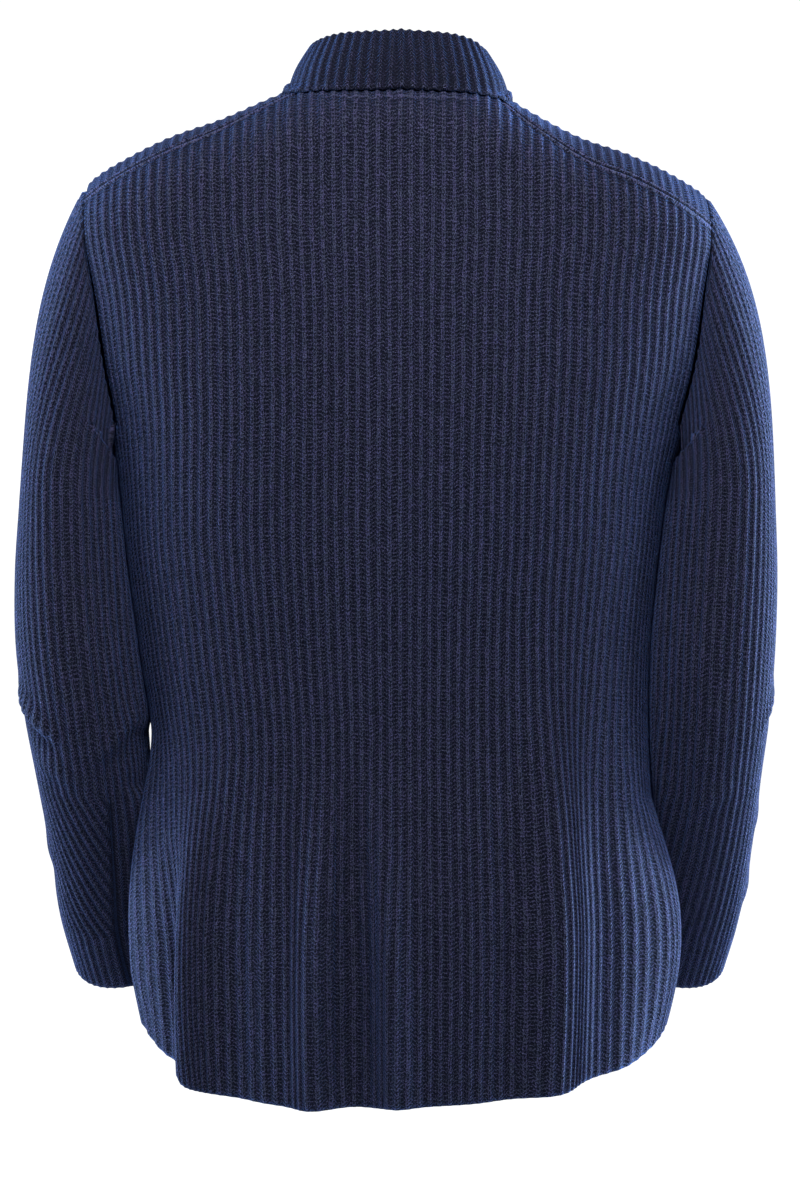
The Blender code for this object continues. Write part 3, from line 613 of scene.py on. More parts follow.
# ---- the back and the fronts
def panel(face, side=0):
    """The grid of the back or of a front: its points, normals, ribs, heights along the rib and cells."""
    first = -HALF_RIBS if face == "back" else -LAP_RIBS
    ribs = np.arange(COLUMNS * first, COLUMNS * HALF_RIBS + 1) / COLUMNS
    across = np.clip(ribs, -HALF_RIBS + SIDE_CLEAR, HALF_RIBS - SIDE_CLEAR)
    mirror = -1 if side < 0 and face == "front" else 1
    hem = by_side(HEM, ribs, np.abs(ribs), "back_") if face == "back" else table(HEM, face, np.abs(ribs))
    past = np.clip((np.abs(ribs) - ARMHOLE_RIB) / (HALF_RIBS - ARMHOLE_RIB), 0, 1)
    split = UNDERARM_Z - UNDERARM_DROP * np.sin(past * math.pi / 2)
    seam = seam_h(mirror * ribs, face)
    top = np.where(np.abs(ribs) < NECK_RIB, neck_h(ribs, face, mirror), seam)
    low = np.linspace(0, 1, LOW_ROWS + 1)[:, None]
    rows = np.arange(1, HIGH_ROWS + 1)
    high = np.interp(rows, (0, HIGH_ROWS - SEAM_ROWS, HIGH_ROWS), (0, SEAM_ROWS_START, 1))[:, None]
    h = np.concatenate([hem + (split - hem) * low, split + (top - split) * high])
    plain, normal = cloth_point(mirror * across[None, :], h, face)
    if side > 0 and face == "front":
        plain = plain + normal * lap_rise(plain[..., 0])[..., None]
    cells = (np.arange(len(ribs) - 1)[::INNER_STEP] + INNER_STEP / 2) / COLUMNS + first
    present = np.ones(((len(h) - 1) // INNER_STEP, len(cells)), bool)
    present[LOW_ROWS // INNER_STEP :, np.abs(cells) > ARMHOLE_RIB] = False
    return plain, normal, ribs, h, present


def seam_shape(distance):
    """The share of its height that cloth has near a seam or an edge, which rounds over there."""
    across = np.clip(distance / EDGE_ROUND, 0, 1)
    return EDGE_SHARE + (1 - EDGE_SHARE) * np.sqrt(1 - (1 - across) ** 2)


def edge_welt(run, ribs):
    """Where the cast-on edge of a piece shows as a row of small stitches."""
    return line_at(run, *CAST_ON) * (0.7 + 0.3 * np.cos(4 * math.pi * ribs))


def wander(ribs):
    """How far up or down the rows of stitches lie, which differs from rib to rib."""
    return 0.35 * STITCH * np.sin(2.4 * np.round(ribs))


def make_panel(name, face, side=0):
    plain, normal, ribs, h, present = panel(face, side)
    edge = h - h[:1]
    top = h[-1:] - h
    beside = np.abs(np.abs(ribs) - ARMHOLE_RIB) * RIB_PITCH
    beside = np.where(np.arange(len(h))[:, None] >= LOW_ROWS, beside, 1)
    flank = (HALF_RIBS - np.abs(ribs)) * RIB_PITCH
    distance = np.minimum(np.minimum(edge, top), np.minimum(beside, flank))
    relief = RIB_RISE * rib_height(ribs)
    welt = edge_welt(edge, ribs)
    # gap is painted shade: darker lines along the armhole and the side seam, and on the back in the gaps
    # beside the shoulder's welts and the chain.
    gap = line_at(beside, *ARMHOLE_SHADE_LINE) + line_at(flank, *SIDE_SHADE_LINE)
    if face == "front":
        distance = np.minimum(distance, (ribs + LAP_RIBS) * RIB_PITCH)
        relief = relief * (1 - FRONT_FLAT * (1 - smooth(top, *FRONT_FLAT_REACH)))
    else:
        seamed = np.where(np.abs(ribs) > NECK_RIB, 1.0, 0.0)
        near, far = (line_at(top, *each) for each in SHOULDER_WELTS)
        between, under = (line_at(top, *each) for each in SHOULDER_GAP_SHADES)
        relief = relief * (1 - seamed * (1 - smooth(top, *SHOULDER_PLAIN)))
        relief = relief + seamed * RIB_RISE * (1.1 * near + far)
        chain = CHAIN_PLACE + CHAIN_WAVE * np.sin(math.pi * ribs)
        chained = 1 - smooth(np.abs(ribs), *CHAIN_END)
        welt = welt + seamed * (near + far) + 0.6 * chained * line_at(top, chain, CHAIN_WIDTH)
        gap = gap + seamed * between + 0.6 * seamed * under
        gap = gap + 0.3 * chained * line_at(top - chain, CHAIN_GAP, CHAIN_WIDTH)
    height = (WALL + relief) * seam_shape(distance)
    v = (h + wander(ribs)) / STITCH
    return knit_shell(name, plain, normal, height, ribs, v, present, trim=(welt, gap))


def front_at(x, z, side):
    """The inner face of a front, found by its place as seen from before, and its outward normal."""

    def place(x, z):
        radius, top = shoulder_at(x)
        sine = np.where(z > top - radius, np.sqrt(np.clip(1 - ((z - top + radius) / radius) ** 2, 0, 1)), 1)
        return np.stack([x, -depth_at(x, z, "front") * sine, z], -1)

    d = 0.0005
    along = place(x + d, z) - place(x - d, z)
    up = place(x, z + d) - place(x, z - d)
    normal = unit(np.cross(along, up))
    lift = lap_rise(x) if side > 0 else np.zeros(np.shape(x))
    return place(x, z) + normal * lift[..., None], normal


# ---- the lapels
def make_lapel(name, side):
    """A front's turned-back edge. From the roll line it wraps the front's edge, then lies on the front."""
    foot, head = np.array(ROLL_FOOT), np.array(ROLL_HEAD)
    length = np.linalg.norm(head - foot)
    up = (head - foot) / length
    out = np.array([up[1], -up[0]])
    thick = WALL + RIB_RISE
    flat = np.arange(COLUMNS * (LAPEL_RIBS - 1) + 1) / COLUMNS * RIB_PITCH
    turn = np.linspace(0, math.pi / 2, ROLL_STEPS + 1)[:-1]
    round_across = -OVER + (OVER + flat[1]) * (1 - np.cos(turn))
    across = np.concatenate([round_across, flat[1:]])
    level = np.full(len(across), thick + OVER)
    level[: len(turn)] = OVER / 2 + (thick + OVER / 2) * np.sin(turn)
    columns = (len(across) - 1) // INNER_STEP * INNER_STEP + 1
    across, level = across[:columns], level[:columns]
    share_across = np.clip(across, 0, 1) / across[-1]
    low = LAPEL_LOW * share_across**LAPEL_BEND
    if side < 0:
        low = np.maximum(low, LAPEL_COVERED)
    high = LAPEL_HIGH - LAPEL_NOTCH * share_across
    share = low + (high - low) * np.linspace(0, 1, LAPEL_ROWS + 1)[:, None]
    places = foot + up * (share * length)[..., None] + out * across[None, :, None]
    base, lift = front_at(side * places[..., 0], places[..., 1], side)
    plain = base + lift * level[None, :, None]
    toward = lift.copy()
    toward[:, : len(turn)] -= 1.5 * np.array([side * out[0], 0, out[1]])
    normal = grid_normals(plain, toward)
    u = across / RIB_PITCH + 0.5
    run = share * length
    distance = np.minimum(np.minimum(run - run[:1], run[-1:] - run), across[-1] - across)
    height = (WALL + RIB_RISE * rib_height(u)) * seam_shape(distance)
    return knit_shell(name, plain, normal, height, u, run / STITCH)


# ---- the sleeves
def armhole(side):
    """The body's armhole edge from the side seam: up the back, over the shoulder, down the front."""
    edges = []
    for face in ("back", "front"):
        plain, normal, ribs, _, _ = panel(face, side)
        sign = side if face == "back" else 1
        under = np.arange(HALF_RIBS, ARMHOLE_RIB - 0.1, -0.5)
        columns = [np.argmin(np.abs(ribs - sign * rib)) for rib in under]
        line = [(plain[LOW_ROWS, c], normal[LOW_ROWS, c]) for c in columns]
        line += [(plain[r, columns[-1]], normal[r, columns[-1]]) for r in range(LOW_ROWS + 1, len(plain))]
        edges.append(line)
    both = np.array([np.concatenate(pair) for pair in edges[0] + edges[1][::-1]])
    run = run_of(both[:, :3])
    both = points_at(both, run, np.linspace(0, run[-1], COLUMNS * SLEEVE_RIBS, endpoint=False))
    return both[:, :3], unit(both[:, 3:])


def sleeve_ring(side, z, shares):
    """One ring of a sleeve: its points at the given shares of the way round, from the body by the back."""
    name = "left" if side > 0 else "right"
    outer, inner = table(SLEEVE, "outer_" + name, z), table(SLEEVE, "inner_" + name, z)
    middle, half = (outer + inner) / 2, (outer - inner) / 2
    y, depth, slope = (table(SLEEVE, column, z) for column in ("y", "depth", "slope"))
    turn = np.linspace(0, 2 * math.pi, FINE_STEPS + 1)
    x = middle - half * np.cos(turn) * (1 + SLEEVE_BOXY_X * np.sin(turn) ** 2)
    forward = depth * np.sin(turn) * (1 + SLEEVE_BOXY_Y * np.cos(turn) ** 2)
    ring = np.stack([side * x, y + forward, z - slope * forward], -1)
    run = run_of(ring)
    return points_at(ring, run, shares * run[-1])


def rib_shares(side, z):
    """Where round a sleeve the columns of its mesh lie at a height, and what share of its full rise a rib has
    there. Down the forearm the ribs on the outer side of the seam run into it, and the others spread."""
    rib = np.arange(COLUMNS * SLEEVE_RIBS) / COLUMNS
    first = SLEEVE_SEAM[side] * SLEEVE_RIBS
    away = (rib - first + SLEEVE_RIBS / 2) % SLEEVE_RIBS - SLEEVE_RIBS / 2
    merged = MERGED_RIBS[side] * float(np.clip((MERGE_TOP - z) / (MERGE_TOP - MERGE_FOOT), 0, 1))
    seam = merged / MERGED_RIBS[side] * SEAM_WIDTH / FOREARM_ROUND
    pitch = (1 - seam) / (SLEEVE_RIBS - merged)
    past = np.where(away < 0, away * pitch, seam + (away - merged) * pitch)
    share = np.where((away >= 0) & (away < merged), away / max(merged, 1e-6) * seam, past)
    beside = np.clip(np.maximum(-away, away - merged) / 0.5, 0, 1)
    return (SLEEVE_SEAM[side] + share) % 1, 1 - (1 - beside) * min(1.0, merged)


def crease_rise(side, share, z):
    """How far the creases move a sleeve's cloth at a place."""
    total = np.zeros(np.broadcast(share, z).shape)
    for for_side, from_share, to_share, from_z, to_z, width, rise in CREASES:
        if for_side != side:
            continue
        along = (share - from_share) / (to_share - from_share)
        reach = np.sin(math.pi * np.clip(CREASE_START + (1 - CREASE_START) * along, 0, 1))
        below = (from_z + (to_z - from_z) * np.clip(along, 0, 1) - z) / width
        ridge = line_at(below, 0, np.where(below < 0, *RIDGE_WIDTHS))
        total = total + rise * reach * (ridge - GROOVE_SHARE * line_at(below, *GROOVE))
    return total


def pressed(side, grid):
    """How far towards the body the inner side of a sleeve moves, to rest against it."""
    x, y, z = side * grid[..., 0], grid[..., 1], grid[..., 2]
    across, deep = section(np.linspace(0, math.pi / 2, FINE_STEPS))
    depth = np.where(y > 0, table(BODY, "back", z), table(BODY, "front", z))
    share = np.interp(np.abs(y) / depth, deep[::-1], across[::-1])
    gap = x - by_side(BODY, side, z) * share - 2 * (WALL + RIB_RISE) - REST_GAP
    drawn = line_at(np.maximum(gap, 0), 0, PRESS_REACH)
    if side > 0:
        foot, head = OPEN_SLIT
        drawn = drawn * (1 - smooth(z, *foot) * (1 - smooth(z, *head)))
    return gap * drawn


def make_sleeve(name, side):
    count = COLUMNS * SLEEVE_RIBS
    shares = np.arange(count) / count
    row_heights, rows = zip(*ARM_ROWS)
    heights = np.interp(np.arange(rows[-1] + 1), rows, row_heights)
    spread = [rib_shares(side, z) for z in heights]
    rings = np.array([sleeve_ring(side, z, each[0]) for z, each in zip(heights, spread)])
    ribbed = np.concatenate([np.ones((HEAD_ROWS, count)), [each[1] for each in spread]])
    places = np.concatenate([np.repeat(shares[None], HEAD_ROWS, axis=0), [each[0] for each in spread]])
    start, start_normal = armhole(side)
    top = line_at(shares, 0.5, HEAD_TOP)[:, None]
    from_top = np.array([side * SLEEVE_LEAVE[side], 0, -1.0])
    leave = unit(from_top * top + np.array([side * UNDER_LEAVE, 0, -1.0]) * (1 - top))
    down = unit(rings[4] - rings[0])
    centre = rings.mean(axis=1)
    thick = WALL + RIB_RISE
    normal = start_normal
    for _ in range(2):
        beside = start_normal - normal
        beside = beside * np.clip(4 * np.sum(beside * leave, axis=-1, keepdims=True), 0, 1)
        seam = start + thick * beside
        reach = HEAD_REACH * np.linalg.norm(rings[0] - seam, axis=-1)[:, None]
        t = np.linspace(0, 1, HEAD_ROWS + 1)[:-1, None, None]
        head = (
            (1 - t) ** 3 * seam
            + 3 * t * (1 - t) ** 2 * (seam + reach * leave)
            + 3 * t**2 * (1 - t) * (rings[0] - reach * down)
            + t**3 * rings[0]
        )
        grid = np.concatenate([head, rings])
        middle = np.concatenate([np.repeat(centre[:1], HEAD_ROWS, axis=0), centre])[:, None, :]
        away = grid - middle
        away[:HEAD_ROWS, :, 2] = 0
        away[:HEAD_ROWS] += np.array([0, 0, 0.02]) * top
        normals = grid_normals(grid, away, wrap=True)
        normal = normals[0].copy()
    grid = grid + normals * crease_rise(side, places, grid[..., 2])[..., None]
    grid[HEAD_ROWS // 2 :, :, 0] -= side * pressed(side, grid[HEAD_ROWS // 2 :])
    normals = grid_normals(grid, away, wrap=True)
    steps = np.linalg.norm(np.diff(grid, axis=0), axis=2).mean(axis=1)
    run = np.concatenate([[0], np.cumsum(steps)])[:, None]
    u = np.arange(count + 1) / COLUMNS
    grid, normals, ribbed = (np.concatenate([each, each[:, :1]], axis=1) for each in (grid, normals, ribbed))
    height = (WALL + RIB_RISE * rib_height(u) * ribbed) * seam_shape(np.minimum(run, run[-1] - run))
    v = (wander(u) - run) / STITCH
    # The second part of trim is painted shade along the armhole seam and down the seam where the ribs end.
    trim = edge_welt(run[-1] - run, u), line_at(run, *ARMHOLE_SHADE_LINE) + MERGED_SHADE * (1 - ribbed)
    return knit_shell(name, grid, normals, height, u, v, wrap=True, trim=trim)


# ---- the collar
def neck_edge():
    """The neck's edge, from the right roll line round the back to the left one."""
    stretches = (
        ("front", -1, ROLL_RIB, NECK_RIB), ("back", 0, -NECK_RIB, NECK_RIB), ("front", 1, NECK_RIB, ROLL_RIB))
    lines = []
    for face, side, low, high in stretches:
        plain, _, ribs, _, _ = panel(face, side)
        step = 0.5 if high > low else -0.5
        lines += [plain[-1, np.argmin(np.abs(ribs - rib))] for rib in np.arange(low, high + step / 2, step)]
    return np.array(lines)


def make_collar(trees):
    """The stand, the fold and the fall, which is lifted clear of the pieces under it."""
    count = COLUMNS * COLLAR_RIBS + 1
    edge = neck_edge()
    run = run_of(edge)
    neck = points_at(edge, run, np.linspace(0, run[-1], count))
    for _ in range(NECK_ROUNDS):
        neck[1:-1, :2] = (neck[:-2] + 2 * neck[1:-1] + neck[2:])[:, :2] / 4
    along = np.gradient(neck, axis=0)
    out = unit(np.stack([along[:, 1], -along[:, 0], np.zeros(count)], -1))
    out *= np.sign(np.sum(out * (neck - neck.mean(axis=0)), axis=-1, keepdims=True))
    share = np.abs(np.linspace(-1, 1, count))
    fold_out, fold_up, edge_out, edge_up = (table(COLLAR, name, share) for name in list(COLLAR)[1:])
    profile = np.array([
        (of_fold * fold_out + of_edge * edge_out + out_by, of_fold * fold_up + of_edge * edge_up + up_by)
        for of_fold, of_edge, out_by, up_by in COLLAR_SECTION])
    grid = neck + out * profile[:, 0, :, None] + np.array([0, 0, 1]) * profile[:, 1, :, None]
    last = len(grid) - 1
    grid = smooth_curve(np.arange(last + 1.0), grid, np.linspace(0, last, COLLAR_ROWS + 1))
    away = unit(out * 0.6 + (0, 0, 0.8))
    clear = OVER * (0.7 + 0.3 * share**2)
    fold = int(np.argmax(grid[:, count // 2, 2]))
    for row in range(fold + 4, len(grid)):
        grid[row] = [lifted(trees, *each) for each in zip(grid[row], away, clear)]
    row = np.arange(len(grid))[:, None, None]
    toward = np.where(row < fold, -out, out) + np.where(row < fold - 6, 0.0, 1.0) * np.array([0, 0, 1])
    normals = grid_normals(grid, toward)
    run = np.cumsum(np.linalg.norm(np.diff(grid, axis=0, prepend=grid[:1]), axis=2), axis=0)
    u = np.arange(count) / COLUMNS
    ends = (1 - share) * COLLAR_RIBS / 2 * RIB_PITCH
    distance = np.minimum(np.minimum(run, run[-1:] - run), ends)
    height = (WALL + COLLAR_RISE * RIB_RISE * rib_height(u, COLLAR_SHARPNESS)) * seam_shape(distance)
    # The second part of trim darkens the whole collar with painted shade.
    trim = edge_welt(run[-1:] - run, u), COLLAR_SHADE
    return knit_shell("knit_collar", grid, normals, height, u, run / STITCH, trim=trim)


def lifted(trees, point, away, clear):
    """A point, moved out to lie clear of the pieces that it rests on."""
    start = Vector(point + away * REST_REACH)
    distances = [tree.ray_cast(start, Vector(-away), REST_REACH + clear)[3] for tree in trees]
    near = min([d for d in distances if d is not None], default=REST_REACH + clear)
    return point + away * (REST_REACH + clear - near)


def tree_of(piece):
    data = piece.data
    return BVHTree.FromPolygons([v.co for v in data.vertices], [p.vertices for p in data.polygons])


# ---- the buttons
def ring_faces(rings, sides, first=0, closed=False):
    """The faces between rings of points, and over both ends unless the rings close on each other."""
    faces = []
    for ring in range(rings if closed else rings - 1):
        here, after = first + ring * sides, first + (ring + 1) % rings * sides
        for k in range(sides):
            beside = (k + 1) % sides
            faces.append((here + k, here + beside, after + beside, after + k))
    if not closed:
        last = first + (rings - 1) * sides
        faces += [tuple(range(first, first + sides))[::-1], tuple(range(last, last + sides))]
    return faces


def turned_mesh(name, profile, sides, centres=((0.0, 0.0),)):
    """A mesh of closed turned solids, one round each centre. profile is its (radius, height) rings."""
    turns = [2 * math.pi * k / sides for k in range(sides)]
    points, faces = [], []
    for x, y in centres:
        faces += ring_faces(len(profile), sides, len(points))
        points += [(x + radius * math.cos(turn), y + radius * math.sin(turn), level)
                   for radius, level in profile for turn in turns]
    return new_mesh(name, points, faces)


def tube(name, path, lift, radius, closed=False):
    """A yarn along a path. lift is a vector that is never along the path. radius may change on the way."""
    along = np.roll(path, -1, axis=0) - np.roll(path, 1, axis=0) if closed else np.gradient(path, axis=0)
    side = unit(np.cross(unit(along), lift))
    up = np.cross(side, unit(along))
    turn = (2 * math.pi * np.arange(YARN_SIDES) / YARN_SIDES)[None, :, None]
    round_path = side[:, None] * np.cos(turn) + up[:, None] * np.sin(turn)
    rings = path[:, None] + np.broadcast_to(radius, len(path))[:, None, None] * round_path
    faces = ring_faces(len(path), YARN_SIDES, closed=closed)
    return add_object(name, outward(new_mesh(name, rings.reshape(-1, 3).tolist(), faces)))


def set_on_front(piece, z):
    """Puts a piece where the back of a button lies, and turns it to face outward."""
    base, normal = front_at(np.array(0.0), np.array(z), 1)
    facing = Vector(normal)
    piece.location = Vector(base) + facing * (WALL + BUTTON_LIFT + SEAM_GAP)
    piece.rotation_mode = "QUATERNION"
    piece.rotation_quaternion = facing.to_track_quat("Z", "Y")
    return piece


def make_button(name, z):
    """A turned button with a rim round a dished face, and four holes."""
    rings = [(radius * BUTTON_RADIUS, level * BUTTON_THICKNESS) for radius, level in BUTTON_RINGS]
    piece = add_object(name, turned_mesh(name, rings, 48))
    centres = [(x * HOLE_PLACE, y * HOLE_PLACE) for x in (-1, 1) for y in (-1, 1)]
    rings = ((HOLE_RADIUS, -BUTTON_THICKNESS), (HOLE_RADIUS, 2 * BUTTON_THICKNESS))
    cutter = add_object(name + "_cutter", turned_mesh(name + "_cutter", rings, 16, centres))
    cut = piece.modifiers.new("holes", "BOOLEAN")
    cut.object = cutter
    cut.operation = "DIFFERENCE"
    cut.solver = "EXACT"
    graph = bpy.context.evaluated_depsgraph_get()
    pierced = bpy.data.meshes.new_from_object(piece.evaluated_get(graph))
    piece.modifiers.clear()
    piece.data = pierced
    bpy.data.objects.remove(cutter)
    pierced.shade_smooth()
    pierced.set_sharp_from_angle(angle=math.radians(40))
    return set_on_front(piece, z)


def make_button_thread(name, z, side):
    """One of the two strands of thread that cross in the middle of a button."""
    share = np.linspace(-1, 1, 17)
    arch = THREAD_ARCH * np.sqrt(np.clip(1.15 - share**2, 0, 1))
    level = BUTTON_THICKNESS * BUTTON_DISH + arch + (side > 0) * 0.0005
    level = np.where(np.abs(share) > 0.95, BUTTON_THICKNESS * 0.3, level)
    path = np.stack([HOLE_PLACE * share, side * HOLE_PLACE * share, level], -1)
    return set_on_front(tube(name, path, (0, 0, 1.0), THREAD_RADIUS), z)


def make_buttonhole(name, z):
    """The stitched rim of a buttonhole, a flat oval that lies on the ribs of the left front."""
    turn = np.linspace(0, 2 * math.pi, 120, endpoint=False)
    first, last = BUTTONHOLE
    x = (first + last) / 2 + (last - first) / 2 * np.cos(turn)
    height = z + BUTTONHOLE_HALF * np.sign(np.sin(turn)) * np.abs(np.sin(turn)) ** 0.35
    base, normal = front_at(x, height, 1)
    path = base + normal * (WALL + 0.8 * RIB_RISE)
    radius, swell = STITCHED_RIM
    return tube(name, path, np.array([0.0, -1.0, 0.0]), radius + swell * np.cos(40 * turn), closed=True)


# ---- materials
def node(tree, kind, inputs=(), **settings):
    """A node with its settings. Each input is a value, another node's output, or None to leave it."""
    made = tree.nodes.new(kind)
    for key, value in settings.items():
        setattr(made, key, value)
    for slot, value in enumerate(inputs):
        if value is not None:
            fill(tree, made.inputs[slot], value)
    return made


def maths(tree, operation, *inputs):
    return node(tree, "ShaderNodeMath", inputs, operation=operation).outputs[0]


def fill(tree, socket, value):
    if hasattr(value, "is_output"):
        tree.links.new(value, socket)
    else:
        socket.default_value = value


def mixed(tree, share, first, second):
    """A colour between two colours, each a tuple or an output."""
    made = node(tree, "ShaderNodeMix", (share,), data_type="RGBA")
    for slot, colour in ((6, first), (7, second)):
        fill(tree, made.inputs[slot], (*colour, 1) if isinstance(colour, tuple) else colour)
    return made.outputs[2]


def new_material(name, settings):
    """A material's tree and its shader, with the shader's settings."""
    material = bpy.data.materials.new(name)
    material.use_nodes = True
    shader = material.node_tree.nodes["Principled BSDF"]
    for socket, value in settings.items():
        shader.inputs[socket].default_value = value
    return material, material.node_tree, shader


def knit_material():
    """Ribs as narrow pale columns of stitches, and between them wide valleys of small arches, darkened with
    painted shade.
    """
    material, tree, shader = new_material("navy_rib_knit", KNIT_SHADER)

    def layer(name):
        place = node(tree, "ShaderNodeUVMap", uv_map=name).outputs[0]
        return place, *node(tree, "ShaderNodeSeparateXYZ", (place,)).outputs[:2]

    def add(first, *others):
        for other in others:
            first = maths(tree, "ADD", first, other)
        return first

    def minus(first, second):
        return maths(tree, "SUBTRACT", first, second)

    def times(first, second):
        return maths(tree, "MULTIPLY", first, second)

    def scaled(value, amount, base):
        return maths(tree, "MULTIPLY_ADD", value, amount, base)

    def centred(value, amount):
        return scaled(value, amount, -0.5 * amount)

    def noise(scale_u, scale_v, detail=2.0):
        spread = node(tree, "ShaderNodeVectorMath", (place, (scale_u, scale_v, 1.0)), operation="MULTIPLY")
        return node(tree, "ShaderNodeTexNoise", (spread.outputs[0], None, 1.0, detail)).outputs[0]

    def ramp(value, low, high, first=0.0, last=1.0):
        inputs = (value, low, high, first, last)
        return node(tree, "ShaderNodeMapRange", inputs, interpolation_type="SMOOTHSTEP").outputs[0]

    def holes(middle, half_width, shift, step, strength):
        """Painted shade in the gaps between stitches: one in each row, at a distance from the valley's
        middle.
        """
        along = add(phase, shift)
        across = maths(tree, "DIVIDE", minus(inward, middle), half_width)
        down = maths(tree, "DIVIDE", minus(maths(tree, "FRACT", along), 0.5), 0.34)
        far = add(times(across, across), times(down, down))
        cell = (maths(tree, "ROUND", times(u, step)), maths(tree, "FLOOR", along), shift)
        spot = node(tree, "ShaderNodeCombineXYZ", cell).outputs[0]
        chance = node(tree, "ShaderNodeTexWhiteNoise", (spot,)).outputs[0]
        return times(times(ramp(far, 0.2, 1.5, 1.0, 0.0), scaled(chance, 0.75, 0.35)), strength)

    place, u, v = layer("knit")
    _, welt, gap = layer("trim")
    drift = add(centred(noise(0.9, 0.12), 0.30), centred(noise(3.1, 0.9), 0.16))
    rib = maths(tree, "FRACT", add(u, 0.5, drift))
    away = maths(tree, "ABSOLUTE", minus(rib, 0.5))
    inward = minus(0.5, away)
    bend = times(times(inward, inward), STITCH_BEND)
    uneven = add(centred(noise(1.3, 0.5), 1.0), centred(noise(5.0, 1.9), 0.7))
    phase = add(v, bend, uneven)
    loop = scaled(maths(tree, "COSINE", times(phase, 2 * math.pi)), 0.5, 0.5)
    valley = ramp(away, 0.08, 0.20)
    grain = noise(8.0, 3.4, 3.0)
    relief = add(times(loop, scaled(valley, 0.45, 0.55)), times(grain, GRAIN_RELIEF))
    bump = node(tree, "ShaderNodeBump", KNIT_BUMP)
    tree.links.new(relief, bump.inputs["Height"])
    tree.links.new(bump.outputs[0], shader.inputs["Normal"])

    # Painted shade: the colour darkens towards the shade colour in the gaps between stitches, in the valleys,
    # where the grain's relief is low, and where trim lays it along seams and over the collar; the welts take
    # it away.
    hole_shade = add(*(holes(*each) for each in HOLE_SHADES))
    shade = ramp(grain, 0.40, 0.60, 0.72, 0.0)
    depth = add(times(hole_shade, 1.3), scaled(valley, 0.27, shade))
    depth = add(minus(depth, times(welt, 0.9)), gap)
    depth = node(tree, "ShaderNodeClamp", (depth, 0.0, 0.96)).outputs[0]
    yarn = mixed(tree, ramp(noise(1.7, 0.30, 4.0), 0.40, 0.60), *YARN)
    yarn = mixed(tree, ramp(noise(9.0, 3.8, 2.0), 0.52, 0.68, 0.0, 0.9), yarn, FLECK)
    tree.links.new(mixed(tree, depth, yarn, PAINTED_SHADE), shader.inputs["Base Color"])
    return material


def plain_material(name, colour, roughness, noise_scale=0.0):
    """A material of one colour, or with a noise scale, of one that wanders between it and a paler one."""
    settings = {"Roughness": roughness, "Specular IOR Level": 0.2, "Base Color": (*colour, 1)}
    material, tree, shader = new_material(name, settings)
    if noise_scale:
        place = node(tree, "ShaderNodeTexCoord").outputs["Object"]
        swirl = node(tree, "ShaderNodeTexNoise", (place, None, noise_scale, 3.0)).outputs[0]
        paler = tuple(2.6 * channel for channel in colour)
        tree.links.new(mixed(tree, swirl, colour, paler), shader.inputs["Base Color"])
    return material


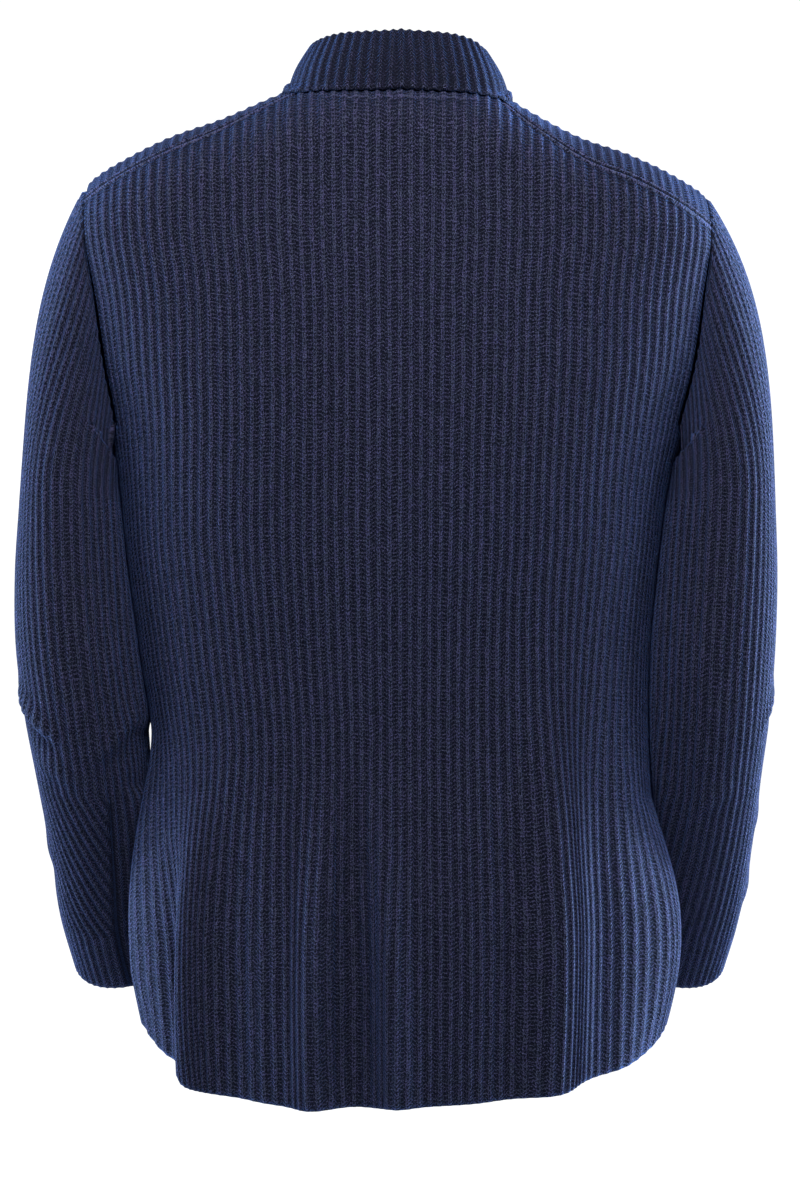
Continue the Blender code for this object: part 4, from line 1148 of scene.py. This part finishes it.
# ---- the studio
def studio():
    """A pale floor that runs on behind the camera and turns up into a wall, then the lamps and the camera."""
    backdrop = plain_material("pale_backdrop", BACKDROP, 0.9)
    tree = backdrop.node_tree
    shader = tree.nodes["Principled BSDF"]
    shader.inputs["Emission Color"].default_value = (1, 1, 1, 1)
    place = node(tree, "ShaderNodeTexCoord").outputs["Object"]
    depth = node(tree, "ShaderNodeSeparateXYZ", (place,)).outputs[1]
    fading = node(tree, "ShaderNodeMapRange", (depth, *GLOW)).outputs[0]
    tree.links.new(fading, shader.inputs["Emission Strength"])
    line = [(FLOOR_NEAR, FLOOR_Z)]
    line += [(-FLOOR_DEEP - FLOOR_CURVE * math.sin(a), FLOOR_Z + FLOOR_CURVE * (1 - math.cos(a)))
             for a in np.linspace(0, math.pi / 2, 13)]
    line.append((-FLOOR_DEEP - FLOOR_CURVE, WALL_TOP))
    points = [(x, y, z) for y, z in line for x in (-FLOOR_HALF, FLOOR_HALF)]
    faces = [(2 * k + 2, 2 * k + 3, 2 * k + 1, 2 * k) for k in range(len(line) - 1)]
    data = new_mesh("studio_floor", points, faces)
    data.shade_smooth()
    data.materials.append(backdrop)
    floor = add_object("studio_floor", data)

    world = bpy.data.worlds.new("pale_world")
    world.use_nodes = True
    world.node_tree.nodes["Background"].inputs[0].default_value = (1.0, 1.0, 1.0, 1)
    world.node_tree.nodes["Background"].inputs[1].default_value = WORLD_LIGHT
    bpy.context.scene.world = world
    bpy.context.scene.view_settings.view_transform = "Standard"
    for name, stand, power, size, colour in LAMPS:
        light = bpy.data.lights.new(name, "AREA")
        light.energy, light.size, light.color = power, size, colour
        lamp = add_object(name, light)
        lamp.location = stand
        lamp.rotation_euler = (Vector(LAMPS_AIM) - Vector(stand)).to_track_quat("-Z", "Y").to_euler()

    camera = bpy.data.cameras.new("camera")
    camera.lens = LENS
    camera.clip_end = 50
    eye = add_object("camera", camera)
    eye.location = (0, CAMERA_Y, CAMERA_Z)
    eye.rotation_euler = (math.pi / 2 - CAMERA_DIP, 0, math.pi)
    bpy.context.scene.camera = eye


def main():
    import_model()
    knit = knit_material()
    horn = plain_material("dark_horn", HORN, 0.42, 260.0)
    thread = plain_material("navy_thread", THREAD, 0.85, 1800.0)
    back = make_panel("knit_back", "back")
    front_left = make_panel("knit_front_left", "front", 1)
    front_right = make_panel("knit_front_right", "front", -1)
    cloth = {
        "back": (back, (0.53, 0.76)),
        "front_left": (front_left, (0.29, 0.78)),
        "front_right": (front_right, (0.29, 0.78)),
        "sleeve_left": (make_sleeve("knit_sleeve_left", 1), (0.34, 0.60)),
        "sleeve_right": (make_sleeve("knit_sleeve_right", -1), (0.34, 0.60)),
        "lapel_left": (make_lapel("knit_lapel_left", 1), (0.055, 0.17)),
        "lapel_right": (make_lapel("knit_lapel_right", -1), (0.055, 0.12)),
        "collar": (make_collar([tree_of(piece) for piece in (back, front_left, front_right)]), (0.43, 0.10)),
    }
    for name, (piece, flat) in cloth.items():
        piece.data.materials.append(knit)
        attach(piece, "root")
        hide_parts(name)
    for number, z in enumerate(BUTTON_HEIGHTS, 1):
        button = make_button(f"horn_button_{number}", z)
        button.data.materials.append(horn)
        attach(button, "root")
        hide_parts(f"button_{number}")
        sewn = [make_buttonhole(f"buttonhole_{number}", z)]
        for way, side in (("a", -1), ("b", 1)):
            sewn.append(make_button_thread(f"button_thread_{number}_{way}", z, side))
        for piece in sewn:
            piece.data.materials.append(thread)
            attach(piece, "root")
    studio()
    bpy.context.view_layer.update()


main()
